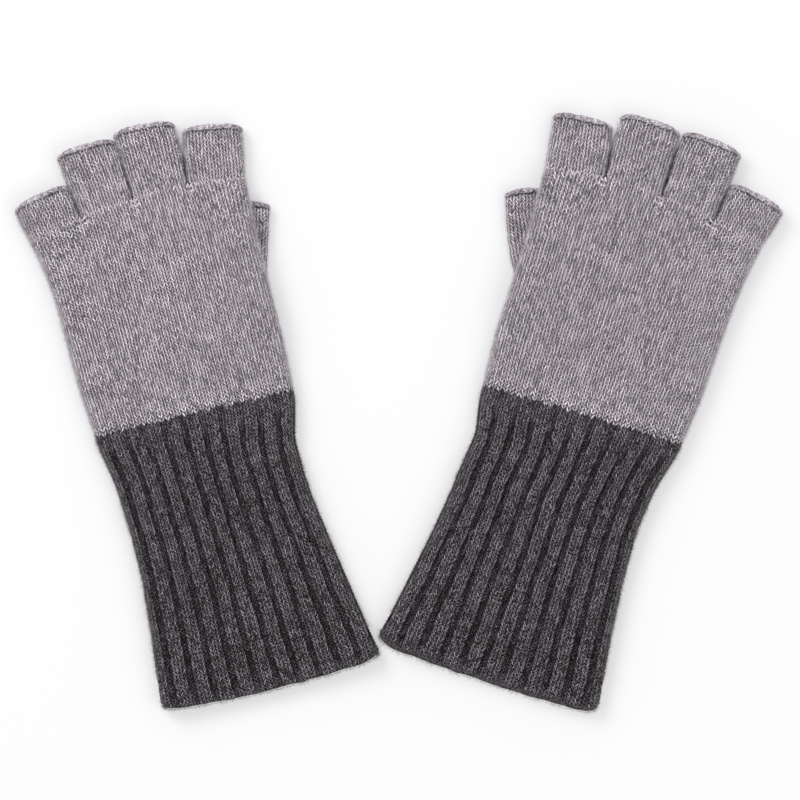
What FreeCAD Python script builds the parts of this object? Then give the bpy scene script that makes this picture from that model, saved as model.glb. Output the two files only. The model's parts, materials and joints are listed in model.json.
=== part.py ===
"""A pair of knitted fingerless gloves, lying backs up with the thumbs folded under the palms.

Each glove has a frame of its own: X runs across the hand towards the thumb, Y from the seam
between cuff and hand towards the finger tips, and Z up from the surface that it lies on.
The right glove has the same frame mirrored in X. Lengths are in millimetres, angles in degrees.
"""
import FreeCAD, Part
import math
import os
import Sketcher
from FreeCAD import Placement, Rotation, Vector

SIZES = [
    # alias, value, meaning
    ("tube_height", 9.0, "outer height of a knitted tube that lies flat"),
    ("knit_wall", 1.2, "thickness of the knit"),
    ("joint_gap", 0.3, "clearance between pieces that move against each other"),
    ("seam_width", 82.8, "width of hand and cuff where they meet"),
    ("left_hand_length", 91.3, "left seam to the crotch between middle and index finger"),
    ("right_hand_length", 95.0, "right seam to the crotch between middle and index finger"),
    ("crotch_offset", 18.3, "that crotch to the centre line of the hand"),
    ("bulge_width", 0.8, "how far the index side of the palm swells"),
    ("bulge_length", 58.5, "seam to where that swell has died out"),
    ("crotch_web", 3.0, "length of the knit that closes the hand between two fingers"),
    ("little_width", 22.6, "root of the little finger, gap included"),
    ("ring_width", 22.8, "root of the ring finger, gap included"),
    ("middle_width", 22.8, "root of the middle finger, gap included"),
    ("index_width", 22.8, "root of the index finger, gap included"),
    ("left_little_length", 14.8, "root to the bound-off edge of the left little finger"),
    ("left_ring_length", 26.3, "root to the bound-off edge of the left ring finger"),
    ("left_middle_length", 26.9, "root to the bound-off edge of the left middle finger"),
    ("left_index_length", 21.7, "root to the bound-off edge of the left index finger"),
    ("right_little_length", 17.4, "root to the bound-off edge of the right little finger"),
    ("right_ring_length", 28.4, "root to the bound-off edge of the right ring finger"),
    ("right_middle_length", 26.9, "root to the bound-off edge of the right middle finger"),
    ("right_index_length", 21.7, "root to the bound-off edge of the right index finger"),
    ("edge_length", 2.0, "depth of a bound-off edge"),
    ("edge_round", 0.4, "rounding of a bound-off edge"),
    ("thumb_width", 26.0, "width of the thumb tube"),
    ("thumb_length", 36.0, "thumb pivot to its bound-off edge"),
    ("thumb_height", 6.6, "outer height of the thumb pressed flat"),
    ("thumb_bevel", 2.2, "bevel along the sides of the thumb"),
    ("thumb_hole", 8.5, "radius of the opening between hand and thumb"),
    ("fold_cavity", 2.4, "height left inside the hand over the folded thumb"),
    ("palm_slope", 12.5, "width of the slope from the flat palm up over the thumb"),
    ("back_slope", 32.0, "width of the gentler slope on the back of the hand"),
    ("cuff_length", 111.0, "seam to the cast-on hem"),
    ("welt_length", 4.0, "depth of the cast-on welt"),
    ("waist_width", 75.4, "narrowest width of the cuff"),
    ("waist_start", 22.0, "seam to where the cuff has drawn in"),
    ("flare_start", 42.0, "seam to where the cuff starts to flare"),
    ("hem_width", 89.0, "width of the cuff at its hem"),
    ("rib_count", 22.0, "ribs all round the cuff"),
    ("rib_depth", 0.8, "depth of the grooves between ribs"),
    ("rib_crest_share", 0.58, "share of one rib that is crest"),
    ("rib_start", 6.0, "plain knit between the seam and the full ribs"),
    ("pair_gap", 1.2, "clear width between the two hems"),
    ("pair_drop", 0.6, "how far the right glove lies behind the left one"),
    ("left_turn_angle", 13.3, "how far the left glove is turned"),
    ("right_turn_angle", -16.5, "how far the right glove is turned"),
    ("left_cuff_angle", 2.5, "lean of the left cuff towards the thumb side"),
    ("right_cuff_angle", 3.6, "lean of the right cuff towards the thumb side"),
    ("left_little_angle", 12.0, "lean of the left little finger, away from the thumb"),
    ("left_ring_angle", 7.0, "lean of the left ring finger"),
    ("left_middle_angle", 2.2, "lean of the left middle finger"),
    ("left_index_angle", -6.5, "lean of the left index finger, towards the thumb"),
    ("right_little_angle", 15.0, "lean of the right little finger"),
    ("right_ring_angle", 8.0, "lean of the right ring finger"),
    ("right_middle_angle", 1.5, "lean of the right middle finger"),
    ("right_index_angle", -6.0, "lean of the right index finger"),
    ("left_thumb_angle", -16.0, "lean of the left thumb"),
    ("right_thumb_angle", -23.0, "lean of the right thumb"),
    ("left_thumb_inset", 15.4, "side of the left hand to the thumb pivot"),
    ("right_thumb_inset", 13.3, "side of the right hand to the thumb pivot"),
    ("left_thumb_clear", 7.1, "left index finger's root down to where the thumb can reach"),
    ("right_thumb_clear", 4.6, "right index finger's root down to where the thumb can reach"),
]
FINGERS = ("little", "ring", "middle", "index")
SHEET = "Sizes"
ARC_STEPS = 5  # flats round each folded side of a lofted tube
SLOPE_SHARES = (0.0, 0.3, 0.5, 0.7, 1.0)  # where the slope over the thumb gets its corners
SPREAD_POWER = 1.5  # how late the little-finger side of the hand spreads
FLARE_POWER = 1.15  # how late the cuff flares
FAINT_RIB = 0.25  # depth of the ribs right under the seam over their full depth

doc = FreeCAD.newDocument("FingerlessGloves")
sheet = doc.addObject("Spreadsheet::Sheet", SHEET)
for row, (alias, value, meaning) in enumerate(SIZES, start=1):
    sheet.set(f"A{row}", meaning)
    sheet.set(f"B{row}", str(value))
    sheet.setAlias(f"B{row}", alias)
doc.recompute()


def size(alias):
    """The number in the sheet's cell of that alias."""
    return float(sheet.get(alias))


def smooth(value, low, high):
    """0 below low, 1 above high and an even S between them."""
    share = min(max((value - low) / (high - low), 0.0), 1.0)
    return share * share * (3.0 - 2.0 * share)


class Lie:
    """How one glove lies: its side, its place on the surface and its knuckle line."""

    def __init__(self, side):
        self.side = side
        self.mirror = 1.0 if side == "left" else -1.0
        turn = Rotation(Vector(0, 0, 1), size(f"{side}_turn_angle"))
        lean = math.tan(math.radians(self.own("cuff_angle")))
        corner = Vector(size("cuff_length") * lean + 0.5 * size("hem_width"), -size("cuff_length"), 0)
        reach = turn.multVec(Vector(corner.x * self.mirror, corner.y, 0)).x * self.mirror
        spread = (reach + 0.5 * size("pair_gap")) * self.mirror
        drop = 0.0 if side == "left" else size("pair_drop")
        self.placement = Placement(Vector(-spread, -drop, 0), turn)
        self.crotches = self.knuckle_line()
        self.thumb_reach = math.hypot(size("thumb_length"), 0.5 * size("thumb_width"))
        self.thumb_up = self.crotches[-1].y - self.own("thumb_clear") - self.thumb_reach
        self.thumb_across = 0.5 * size("seam_width") - self.own("thumb_inset")

    def own(self, name):
        """A size that belongs to this glove alone."""
        return size(f"{self.side}_{name}")

    def knuckle_line(self):
        """The five ends of the four finger roots, from the little finger to the index finger."""
        middle_index = Vector(size("crotch_offset"), self.own("hand_length"), 0)
        line = [middle_index]
        for finger in ("middle", "ring", "little"):
            line.insert(0, line[0] - self.root_vector(finger))
        line.append(middle_index + self.root_vector("index"))
        return line

    def root_vector(self, finger):
        """The root of a finger from its little-finger end to its thumb end."""
        lean = math.radians(self.own(f"{finger}_angle"))
        return Vector(math.cos(lean), math.sin(lean), 0) * size(f"{finger}_width")

    def root_centre(self, finger):
        """The middle of a finger's root, in the glove's frame."""
        place = FINGERS.index(finger)
        return (self.crotches[place] + self.crotches[place + 1]) * 0.5

    def put(self, x, y, lean):
        """The placement of a piece whose own frame stands at x, y and is turned by lean."""
        turn = Rotation(Vector(0, 0, 1), lean * self.mirror)
        return self.placement.multiply(Placement(Vector(x * self.mirror, y, 0), turn))

    def finger_placement(self, finger):
        """The placement of a finger that starts at its root."""
        centre = self.root_centre(finger)
        return self.put(centre.x, centre.y, self.own(f"{finger}_angle"))

    def thumb_placement(self):
        """The placement of the thumb, whose frame stands at its pivot."""
        return self.put(self.thumb_across, self.thumb_up, self.own("thumb_angle"))


# ---------------------------------------------------------------- sketches and bodies


def origin_plane(body, role):
    """One of the body's own origin planes."""
    return [item for item in body.Origin.OriginFeatures if item.Role == role][0]


def new_body(label):
    """An empty body whose label names its file."""
    body = doc.addObject("PartDesign::Body", label)
    body.Label = label
    return body


def new_sketch(body, name, role, offset="0"):
    """A sketch on an origin plane of the body, moved along the plane's normal."""
    sketch = body.newObject("Sketcher::SketchObject", name)
    sketch.AttachmentSupport = [(origin_plane(body, role), "")]
    sketch.MapMode = "FlatFace"
    sketch.setExpression("AttachmentOffset.Base.z", offset)
    return sketch


def bind(sketch, kind, places, expression, name):
    """Adds a dimension to the sketch and ties it to an expression on the sheet."""
    value = float(sketch.evalExpression(expression))
    index = sketch.addConstraint(Sketcher.Constraint(kind, *places, value))
    sketch.renameConstraint(index, name)
    sketch.setExpression(f"Constraints.{name}", expression)


def flat_tube_sketch(body, name, offset, width, height, base=None):
    """Two level lines joined by half circles: the section of a tube lying flat.

    width and height are its outer sizes; base is the height of its lowest line, if it has one.
    """
    sketch = new_sketch(body, name, "XZ_Plane", offset)
    half = 0.5 * float(sketch.evalExpression(height))
    reach = 0.5 * float(sketch.evalExpression(width)) - half
    low = float(sketch.evalExpression(base)) if base else 0.0
    left = Vector(-reach, low + half, 0)
    right = Vector(reach, low + half, 0)
    up = Vector(0, 0, 1)
    sketch.addGeometry(
        [
            Part.LineSegment(Vector(-reach, low, 0), Vector(reach, low, 0)),
            Part.ArcOfCircle(Part.Circle(right, up, half), -math.pi / 2, math.pi / 2),
            Part.LineSegment(Vector(reach, low + 2 * half, 0), Vector(-reach, low + 2 * half, 0)),
            Part.ArcOfCircle(Part.Circle(left, up, half), math.pi / 2, 3 * math.pi / 2),
        ],
        False,
    )
    constraint = Sketcher.Constraint
    sketch.addConstraint(
        [
            constraint("Tangent", 0, 2, 1, 1),
            constraint("Tangent", 1, 2, 2, 1),
            constraint("Tangent", 2, 2, 3, 1),
            constraint("Tangent", 3, 2, 0, 1),
            constraint("Symmetric", 0, 1, 0, 2, -2),
        ]
    )
    bind(sketch, "DistanceX", (0, 1, 0, 2), f"({width}) - ({height})", "level_run")
    bind(sketch, "DistanceY", (0, 2, 2, 1), height, "height")
    if base:
        bind(sketch, "DistanceY", (-1, 1, 0, 1), base, "base")
    else:
        sketch.addConstraint(constraint("PointOnObject", 0, 1, -1))
    return sketch


def pad_along_y(body, name, sketch, length):
    """Pads an XZ sketch towards the finger tip."""
    pad = body.newObject("PartDesign::Pad", name)
    pad.Profile = sketch
    pad.Reversed = True
    pad.setExpression("Length", length)
    body.Tip = pad
    return pad


def bore_through(body, name, sketch):
    """Cuts an XZ sketch right through the body, both ways."""
    pocket = body.newObject("PartDesign::Pocket", name)
    pocket.Profile = sketch
    pocket.Type = "ThroughAll"
    pocket.Midplane = True
    body.Tip = pocket
    return pocket


def make_tube(label, start, length, width, height):
    """A flat knitted tube along Y, open at both ends."""
    body = new_body(label)
    wall = f"{SHEET}.knit_wall"
    outer = flat_tube_sketch(body, "outer_section", f"-({start})", width, height)
    pad_along_y(body, "outer_knit", outer, length)
    inner_width = f"({width}) - 2 * {wall}"
    inner_height = f"({height}) - 2 * {wall}"
    inner = flat_tube_sketch(body, "inner_section", f"-({start})", inner_width, inner_height, wall)
    bore_through(body, "hollow", inner)
    return body


def make_finger(lie, finger):
    """A finger tube on its root line."""
    width = f"{SHEET}.{finger}_width - 2 * {SHEET}.joint_gap"
    length = f"{SHEET}.{lie.side}_{finger}_length"
    height = f"{SHEET}.tube_height"
    start = f"0.5 * {SHEET}.joint_gap"
    run = f"{length} - {SHEET}.edge_length - {start}"
    tube = make_tube(f"{lie.side}_{finger}_finger", start, run, width, height)
    tube.Placement = lie.finger_placement(finger)
    return tube


def thumb_outline(body, name, offset, half_width, reach):
    """The plan of the thumb: a half circle about the pivot and two sides to an open end."""
    sketch = new_sketch(body, name, "XY_Plane", offset)
    half = float(sketch.evalExpression(half_width))
    far = float(sketch.evalExpression(reach))
    centre = Vector(0, 0, 0)
    sketch.addGeometry(
        [
            Part.ArcOfCircle(Part.Circle(centre, Vector(0, 0, 1), half), math.pi, 2 * math.pi),
            Part.LineSegment(Vector(half, 0, 0), Vector(half, far, 0)),
            Part.LineSegment(Vector(half, far, 0), Vector(-half, far, 0)),
            Part.LineSegment(Vector(-half, far, 0), Vector(-half, 0, 0)),
        ],
        False,
    )
    constraint = Sketcher.Constraint
    sketch.addConstraint(
        [
            constraint("Coincident", 0, 3, -1, 1),
            constraint("Tangent", 0, 2, 1, 1),
            constraint("Coincident", 1, 2, 2, 1),
            constraint("Coincident", 2, 2, 3, 1),
            constraint("Tangent", 3, 2, 0, 1),
            constraint("Vertical", 1),
            constraint("Vertical", 3),
            constraint("Horizontal", 2),
        ]
    )
    bind(sketch, "Radius", (0,), half_width, "half_width")
    bind(sketch, "DistanceY", (-1, 1, 1, 2), reach, "reach")
    return sketch


def make_thumb(lie):
    """The thumb: a tube pressed flat, round at its root, with the opening to the hand on top."""
    body = new_body(f"{lie.side}_thumb")
    wall = f"{SHEET}.knit_wall"
    half = f"0.5 * {SHEET}.thumb_width"
    reach = f"{SHEET}.thumb_length - {SHEET}.edge_length"
    outline = thumb_outline(body, "outer_plan", "0", half, reach)
    pad = body.newObject("PartDesign::Pad", "outer_knit")
    pad.Profile = outline
    pad.setExpression("Length", f"{SHEET}.thumb_height")
    body.Tip = pad
    doc.recompute()
    inside_of_end = size("thumb_length") - size("edge_length") - size("knit_wall")
    sides = [
        f"Edge{number}"
        for number, edge in enumerate(pad.Shape.Edges, start=1)
        if edge.BoundBox.ZLength < size("joint_gap") and edge.BoundBox.YMin < inside_of_end
    ]
    soft = body.newObject("PartDesign::Chamfer", "soft_sides")
    soft.Base = (pad, sides)
    soft.setExpression("Size", f"{SHEET}.thumb_bevel")
    body.Tip = soft
    hollow_plan = thumb_outline(body, "inner_plan", wall, f"{half} - 1.5 * {wall}", f"{reach} + {wall}")
    hollow = body.newObject("PartDesign::Pocket", "hollow")
    hollow.Profile = hollow_plan
    hollow.Reversed = True
    hollow.setExpression("Length", f"{SHEET}.thumb_height - 2 * {wall}")
    body.Tip = hollow
    mouth_plan = new_sketch(body, "mouth_plan", "XY_Plane", f"{SHEET}.thumb_height")
    rim = Part.Circle(Vector(0, 0, 0), Vector(0, 0, 1), size("thumb_hole"))
    mouth_plan.addGeometry(rim, False)
    mouth_plan.addConstraint(Sketcher.Constraint("Coincident", 0, 3, -1, 1))
    bind(mouth_plan, "Radius", (0,), f"{SHEET}.thumb_hole", "mouth_radius")
    mouth = body.newObject("PartDesign::Pocket", "mouth")
    mouth.Profile = mouth_plan
    mouth.setExpression("Length", f"1.5 * {wall}")
    body.Tip = mouth
    body.Placement = lie.thumb_placement()
    return body


# ---------------------------------------------------------------- hand and cuff lofts


def flat_face(points):
    """A flat face with these corners."""
    return Part.Face(Part.makePolygon(points + points[:1]))


def solid_from_rings(rings):
    """A solid through rings of as many points each, closed by a flat face at each end.

    Each four-sided gap between neighbouring points of two rings is closed by two triangles.
    """
    faces = [flat_face(rings[0]), flat_face(rings[-1])]
    for near, far in zip(rings, rings[1:]):
        for at in range(len(near)):
            before = at - 1
            faces.append(flat_face([near[before], near[at], far[at]]))
            faces.append(flat_face([near[before], far[at], far[before]]))
    solid = Part.Solid(Part.Shell(faces))
    if solid.Volume < 0:
        solid.reverse()
    return solid


def flat_ring(low_x, high_x, low_z, high_z, y, palm_nodes, back_nodes):
    """Points round a flat tube: a half circle at each side and level runs with chosen nodes."""
    radius = 0.5 * (high_z - low_z)
    middle = 0.5 * (high_z + low_z)
    ring = []
    for step in range(ARC_STEPS + 1):
        angle = -math.pi / 2 + math.pi * step / ARC_STEPS
        ring.append((high_x - radius + radius * math.cos(angle), middle + radius * math.sin(angle)))
    ring.extend((x, high_z) for x in reversed(back_nodes))
    for step in range(ARC_STEPS + 1):
        angle = math.pi / 2 + math.pi * step / ARC_STEPS
        ring.append((low_x + radius + radius * math.cos(angle), middle + radius * math.sin(angle)))
    ring.extend((x, low_z) for x in palm_nodes)
    return [(x, y, z) for x, z in ring]


def make_edge(lie, name, length, width, height, placement):
    """A bound-off edge: the ring that ends a tube, with both its rims rounded off."""
    wall = size("knit_wall")
    rim = size("edge_round")
    start = length - size("edge_length")
    shoulder = length - rim

    def section(y, inset):
        reach = 0.5 * width - inset
        return [Vector(*point) for point in flat_ring(-reach, reach, inset, height - inset, y, [], [])]

    outer = solid_from_rings([section(start, 0.0), section(shoulder, 0.0), section(length, rim)])
    hollow = [section(start - rim, wall), section(shoulder, wall), section(length + rim, wall - 2 * rim)]
    edge = doc.addObject("Part::Feature", f"{lie.side}_{name}_edge")
    edge.Shape = outer.cut(solid_from_rings(hollow))
    edge.Placement = placement
    return edge


class HandForm:
    """The outline of a hand and how far it is lifted over the thumb folded under it."""

    def __init__(self, lie):
        self.lie = lie
        line = lie.crotches
        self.little_end = line[0]
        self.index_end = line[-1]
        thumb_half = 0.5 * size("thumb_width")
        gap = size("joint_gap")
        self.pocket_x = lie.thumb_across - thumb_half - gap
        self.pocket_low = lie.thumb_up - thumb_half - gap
        self.pocket_high = lie.thumb_up + lie.thumb_reach + 2 * gap
        self.lift_low = size("thumb_height") + gap
        wall = size("knit_wall")
        self.lift_high = self.lift_low + 2 * wall + size("fold_cavity") - size("tube_height")

    def sides(self, y):
        """The two sides of the outline at y: the little side spreads, the index side swells."""
        half = 0.5 * size("seam_width")
        share = max(y, 0.0) / self.little_end.y
        little = half + (abs(self.little_end.x) - half) * share**SPREAD_POWER
        swell = math.sin(math.pi * min(max(y, 0.0) / size("bulge_length"), 1.0))
        index = half + (self.index_end.x - half) * min(share, 1.0) + size("bulge_width") * swell
        return -little, index

    def lift(self, x, y, height, slope, run_out):
        """height over the thumb, falling to nothing along X and at both ends along Y."""
        across = smooth(x, self.pocket_x - slope, self.pocket_x)
        rise = smooth(y, self.pocket_low - slope, self.pocket_low)
        fall = smooth(y, self.pocket_high - run_out, self.index_end.y - size("joint_gap"))
        return height * across * rise * (1.0 - fall)

    def slope_nodes(self, slope, low_x, high_x):
        """Where the level run of a section gets its corners: evenly up a slope, and beside it."""
        foot = self.pocket_x - slope
        corners = [foot + share * slope for share in SLOPE_SHARES]
        return [0.5 * (low_x + foot)] + corners + [0.5 * (self.pocket_x + high_x - size("tube_height"))]

    def ring(self, y, inset):
        """The section at y, inset from the outside of the knit."""
        low_x, high_x = self.sides(y)
        palm_slope = size("palm_slope")
        back_slope = size("back_slope")
        palm_nodes = self.slope_nodes(palm_slope, low_x, high_x)
        back_nodes = self.slope_nodes(back_slope, low_x, high_x)
        low_z = inset
        high_z = size("tube_height") - inset
        flat = flat_ring(low_x + inset, high_x - inset, low_z, high_z, y, palm_nodes, back_nodes)
        points = []
        for x, station, z in flat:
            bottom = self.lift(x, station, self.lift_low, palm_slope, 0.0)
            top = self.lift(x, station, self.lift_high, back_slope, 0.5 * palm_slope)
            share = (z - low_z) / (high_z - low_z)
            points.append(Vector(x * self.lie.mirror, station, z + bottom + (top - bottom) * share))
        return points

    def stations(self):
        """Where the sections stand, close together where the hand climbs over the thumb."""
        ramp = size("palm_slope")
        low = self.pocket_low
        high = self.pocket_high
        end = self.index_end.y - size("joint_gap")
        rising = [low - share * ramp for share in (1.7, 1.0, 0.67, 0.33, 0.0)]
        falling = [high - 0.5 * ramp, high, 0.7 * high + 0.3 * end, 0.3 * high + 0.7 * end, end]
        wanted = rising + [0.5 * (low + high - ramp)] + falling
        return [y for y in wanted if size("joint_gap") < y < end] + [end]


def knuckle_cut(lie, set_back):
    """A block over the hand inside the knuckle line moved back by set_back."""
    wide = 2 * size("seam_width")
    deep = 2 * lie.own("hand_length")
    tall = 4 * size("tube_height")
    line = [Vector(point.x * lie.mirror, point.y, 0) for point in lie.crotches]
    block = Part.makeBox(wide, deep, tall, Vector(-0.5 * wide, -0.25 * deep, -0.25 * tall))
    for first, second in zip(line, line[1:]):
        along = (second - first) * lie.mirror
        along.normalize()
        out = Vector(-along.y, along.x, 0)
        start = (first + second) * 0.5 - out * set_back
        beyond = Part.makeBox(2 * wide, deep, tall, Vector(-wide, 0, -0.25 * tall))
        beyond.Placement = Placement(start, Rotation(Vector(0, 1, 0), out))
        block = block.cut(beyond)
    return block


def crotch_webs(lie):
    """The knit that closes the hand between neighbouring fingers."""
    width = 2 * size("knit_wall") + 2 * size("joint_gap")
    length = 2 * size("crotch_web")
    webs = []
    for crotch in lie.crotches[1:-1]:
        corner = Vector(crotch.x * lie.mirror - 0.5 * width, crotch.y - 0.5 * length, 0)
        webs.append(Part.makeBox(width, length, 4 * size("tube_height"), corner))
    return webs


def make_hand(lie):
    """The hand: a flat tube from the seam to the knuckle line, lifted over the thumb."""
    form = HandForm(lie)
    gap = 0.5 * size("joint_gap")
    past = lie.crotches[3].y + size("tube_height")
    stations = form.stations()
    wall = size("knit_wall")
    outer = solid_from_rings([form.ring(y, 0.0) for y in [gap] + stations + [past]])
    inner = solid_from_rings([form.ring(y, wall) for y in [-wall] + stations + [past]])
    outer = outer.common(knuckle_cut(lie, gap))
    for web in crotch_webs(lie):
        inner = inner.cut(web)
    shape = outer.cut(inner)
    pivot = Vector(lie.thumb_across * lie.mirror, lie.thumb_up, 0)
    reach = form.lift_low + wall + 0.5 * size("fold_cavity")
    shape = shape.cut(Part.makeCylinder(size("thumb_hole"), reach, pivot))
    hand = doc.addObject("Part::Feature", f"{lie.side}_hand")
    hand.Shape = shape.removeSplitter()
    hand.Placement = lie.placement
    return hand


class CuffForm:
    """The drawn-in, flaring outline of a cuff and its ribs."""

    def __init__(self, lie):
        self.lie = lie

    def half_width(self, down):
        """Half the width at a distance down from the seam: wide, drawn in, then flaring."""
        half = 0.5 * size("seam_width")
        waist = 0.5 * size("waist_width")
        hem = 0.5 * size("hem_width")
        drawn = half + (waist - half) * smooth(down, 0.0, size("waist_start"))
        share = max(down - size("flare_start"), 0.0) / (size("cuff_length") - size("flare_start"))
        return drawn + (hem - waist) * share**FLARE_POWER

    def middle(self, down):
        """How far the cuff's centre line has leant towards the thumb."""
        return down * math.tan(math.radians(self.lie.own("cuff_angle")))

    def point(self, down, share, inset):
        """The point at a share of the way round the flat tube, starting at the thumb side."""
        radius = 0.5 * size("tube_height")
        level = 2 * (self.half_width(down) - radius)
        arc = math.pi * radius
        way = (share % 1.0) * 2 * (level + arc)
        deep = radius - inset
        if way < level:
            x, z = 0.5 * level - way, deep
        elif way < level + arc:
            angle = math.pi / 2 + (way - level) / radius
            x, z = -0.5 * level + deep * math.cos(angle), deep * math.sin(angle)
        elif way < 2 * level + arc:
            x, z = way - level - arc - 0.5 * level, -deep
        else:
            angle = -math.pi / 2 + (way - 2 * level - arc) / radius
            x, z = 0.5 * level + deep * math.cos(angle), deep * math.sin(angle)
        x = (x + self.middle(down)) * self.lie.mirror
        return Vector(x, -down, z + radius)

    def ribbed_ring(self, down):
        """The outside at one place: crests with grooves that fade out towards the seam."""
        count = round(size("rib_count"))
        fade = FAINT_RIB + (1.0 - FAINT_RIB) * smooth(down, 0.0, size("rib_start"))
        depth = size("rib_depth") * fade
        crest = size("rib_crest_share")
        flank = 0.25 * (1.0 - crest)
        profile = ((0.0, 0.0), (crest, 0.0), (crest + flank, depth), (1.0 - flank, depth))
        return [
            self.point(down, (rib + share) / count, inset)
            for rib in range(count)
            for share, inset in profile
        ]

    def smooth_ring(self, down):
        """The inside at one place."""
        half = self.half_width(down)
        wall = size("knit_wall")
        middle = self.middle(down)
        low_x, high_x = middle - half + wall, middle + half - wall
        flat = flat_ring(low_x, high_x, wall, size("tube_height") - wall, -down, [], [])
        return [Vector(x * self.lie.mirror, y, z) for x, y, z in flat]


def make_cuff(lie):
    """The ribbed cuff and the welt at its hem."""
    form = CuffForm(lie)
    length = size("cuff_length")
    welt = length - size("welt_length")
    gap = 0.5 * size("joint_gap")
    waist_start = size("waist_start")
    flare_start = size("flare_start")
    flare = [0.5 * (flare_start + welt), welt]
    stations = [gap, size("rib_start"), 0.6 * waist_start, waist_start, flare_start] + flare
    pieces = []
    for name, downs in (("cuff", stations), ("cuff_welt", [welt, length])):
        outer = solid_from_rings([form.ribbed_ring(down) for down in downs])
        wall = size("knit_wall")
        through = [downs[0] - wall] + downs[1:-1] + [downs[-1] + wall]
        inner = solid_from_rings([form.smooth_ring(down) for down in through])
        piece = doc.addObject("Part::Feature", f"{lie.side}_{name}")
        piece.Shape = outer.cut(inner)
        piece.Placement = lie.placement
        pieces.append(piece)
    return pieces


# ---------------------------------------------------------------- the pair


def make_glove(lie):
    """All the pieces of one glove."""
    pieces = [make_hand(lie)]
    pieces += make_cuff(lie)
    height = size("tube_height")
    for finger in FINGERS:
        width = size(f"{finger}_width") - 2 * size("joint_gap")
        frame = lie.finger_placement(finger)
        pieces.append(make_finger(lie, finger))
        pieces.append(make_edge(lie, finger, lie.own(f"{finger}_length"), width, height, frame))
    width = size("thumb_width")
    height = size("thumb_height")
    pieces.append(make_thumb(lie))
    pieces.append(make_edge(lie, "thumb", size("thumb_length"), width, height, lie.thumb_placement()))
    return pieces


def check(pieces):
    """Stops where an object failed or a piece is not one valid solid."""
    for item in doc.Objects:
        if "Invalid" in item.State or "Error" in item.State:
            raise RuntimeError(f"{item.Name} did not build: {item.State}")
    for piece in pieces:
        shape = piece.Shape
        if shape.isNull() or not shape.isValid() or len(shape.Solids) != 1:
            raise RuntimeError(f"{piece.Label} is not one valid solid")


def centre_on_base(pieces):
    """Moves every piece so that the origin is under the middle of the pair."""
    box = FreeCAD.BoundBox()
    for piece in pieces:
        box.add(piece.Shape.optimalBoundingBox(False, False))
    shift = Vector(-box.Center.x, -box.Center.y, -box.ZMin)
    for piece in pieces:
        piece.Placement = Placement(shift, Rotation()).multiply(piece.Placement)
    doc.recompute()
    return shift


def print_joints(lies, shift):
    """Prints where each joint turns, for the notes on the pair's motion."""
    move = Placement(shift, Rotation())
    top = size("tube_height")
    for lie in lies:
        frames = {f"{finger}_bend": lie.finger_placement(finger) for finger in FINGERS}
        frames["cuff_bend"] = lie.placement
        frames["thumb_swing"] = lie.thumb_placement()
        for name, frame in frames.items():
            frame = move.multiply(frame)
            point = frame.multVec(Vector(0, 0, top))
            axis = frame.Rotation.multVec(Vector(1, 0, 0))
            print(f"joint {lie.side}_{name} {tuple(round(v, 4) for v in (*point, *axis))}")


gloves = [Lie("left"), Lie("right")]
parts = [piece for lie in gloves for piece in make_glove(lie)]
doc.recompute()
moved = centre_on_base(parts)
check(parts)
print_joints(gloves, moved)
os.makedirs("parts", exist_ok=True)
for part in parts:
    part.Shape.exportStep(f"parts/{part.Label}.step")
print(len(parts), "pieces written")
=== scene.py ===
"""Knits a pair of fingerless gloves round their solids: each stitch, rib, bound-off edge and stray fibre.

Lengths are in metres. A knitted tube lies flat: u counts its wales, the columns of stitches, from the
little-finger side over the top and back underneath, and v counts its courses, the rows, towards the
finger tips. Each glove has a frame at its seam: X towards the thumb, Y towards the finger tips, Z up.
"""
import json
import math
from dataclasses import dataclass

import bpy
import numpy as np
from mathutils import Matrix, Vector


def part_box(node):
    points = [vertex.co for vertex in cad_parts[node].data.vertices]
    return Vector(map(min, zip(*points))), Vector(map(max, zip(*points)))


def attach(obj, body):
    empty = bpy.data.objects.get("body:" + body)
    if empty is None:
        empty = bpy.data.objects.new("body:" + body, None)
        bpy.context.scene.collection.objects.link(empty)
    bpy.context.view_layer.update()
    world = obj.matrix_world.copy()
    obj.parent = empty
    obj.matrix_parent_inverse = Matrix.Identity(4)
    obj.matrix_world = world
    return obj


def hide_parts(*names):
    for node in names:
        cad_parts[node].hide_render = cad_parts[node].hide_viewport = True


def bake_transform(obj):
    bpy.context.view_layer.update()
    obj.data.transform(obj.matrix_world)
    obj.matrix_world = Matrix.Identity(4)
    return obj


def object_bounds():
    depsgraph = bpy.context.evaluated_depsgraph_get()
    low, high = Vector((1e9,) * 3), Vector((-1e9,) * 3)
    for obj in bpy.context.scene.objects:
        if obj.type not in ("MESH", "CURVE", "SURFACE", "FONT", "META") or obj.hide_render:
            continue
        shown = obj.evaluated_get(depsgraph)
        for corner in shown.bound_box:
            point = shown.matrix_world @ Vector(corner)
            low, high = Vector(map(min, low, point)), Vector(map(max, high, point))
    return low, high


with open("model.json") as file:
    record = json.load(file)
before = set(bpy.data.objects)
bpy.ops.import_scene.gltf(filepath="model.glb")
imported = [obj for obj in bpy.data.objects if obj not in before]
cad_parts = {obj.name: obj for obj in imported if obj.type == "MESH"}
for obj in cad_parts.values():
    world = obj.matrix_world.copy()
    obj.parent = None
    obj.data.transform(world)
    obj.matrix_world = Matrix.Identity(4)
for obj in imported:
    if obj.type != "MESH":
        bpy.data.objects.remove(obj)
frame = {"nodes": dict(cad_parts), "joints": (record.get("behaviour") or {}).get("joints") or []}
CAD_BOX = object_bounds()

bl_info = {
    "name": "Knitted fingerless gloves",
    "version": (1, 0, 0),
    "blender": (4, 5, 0),
    "location": "3D View > Sidebar > Gloves",
    "description": "Knits a pair of fingerless gloves stitch by stitch",
    "category": "Add Mesh",
}

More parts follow.
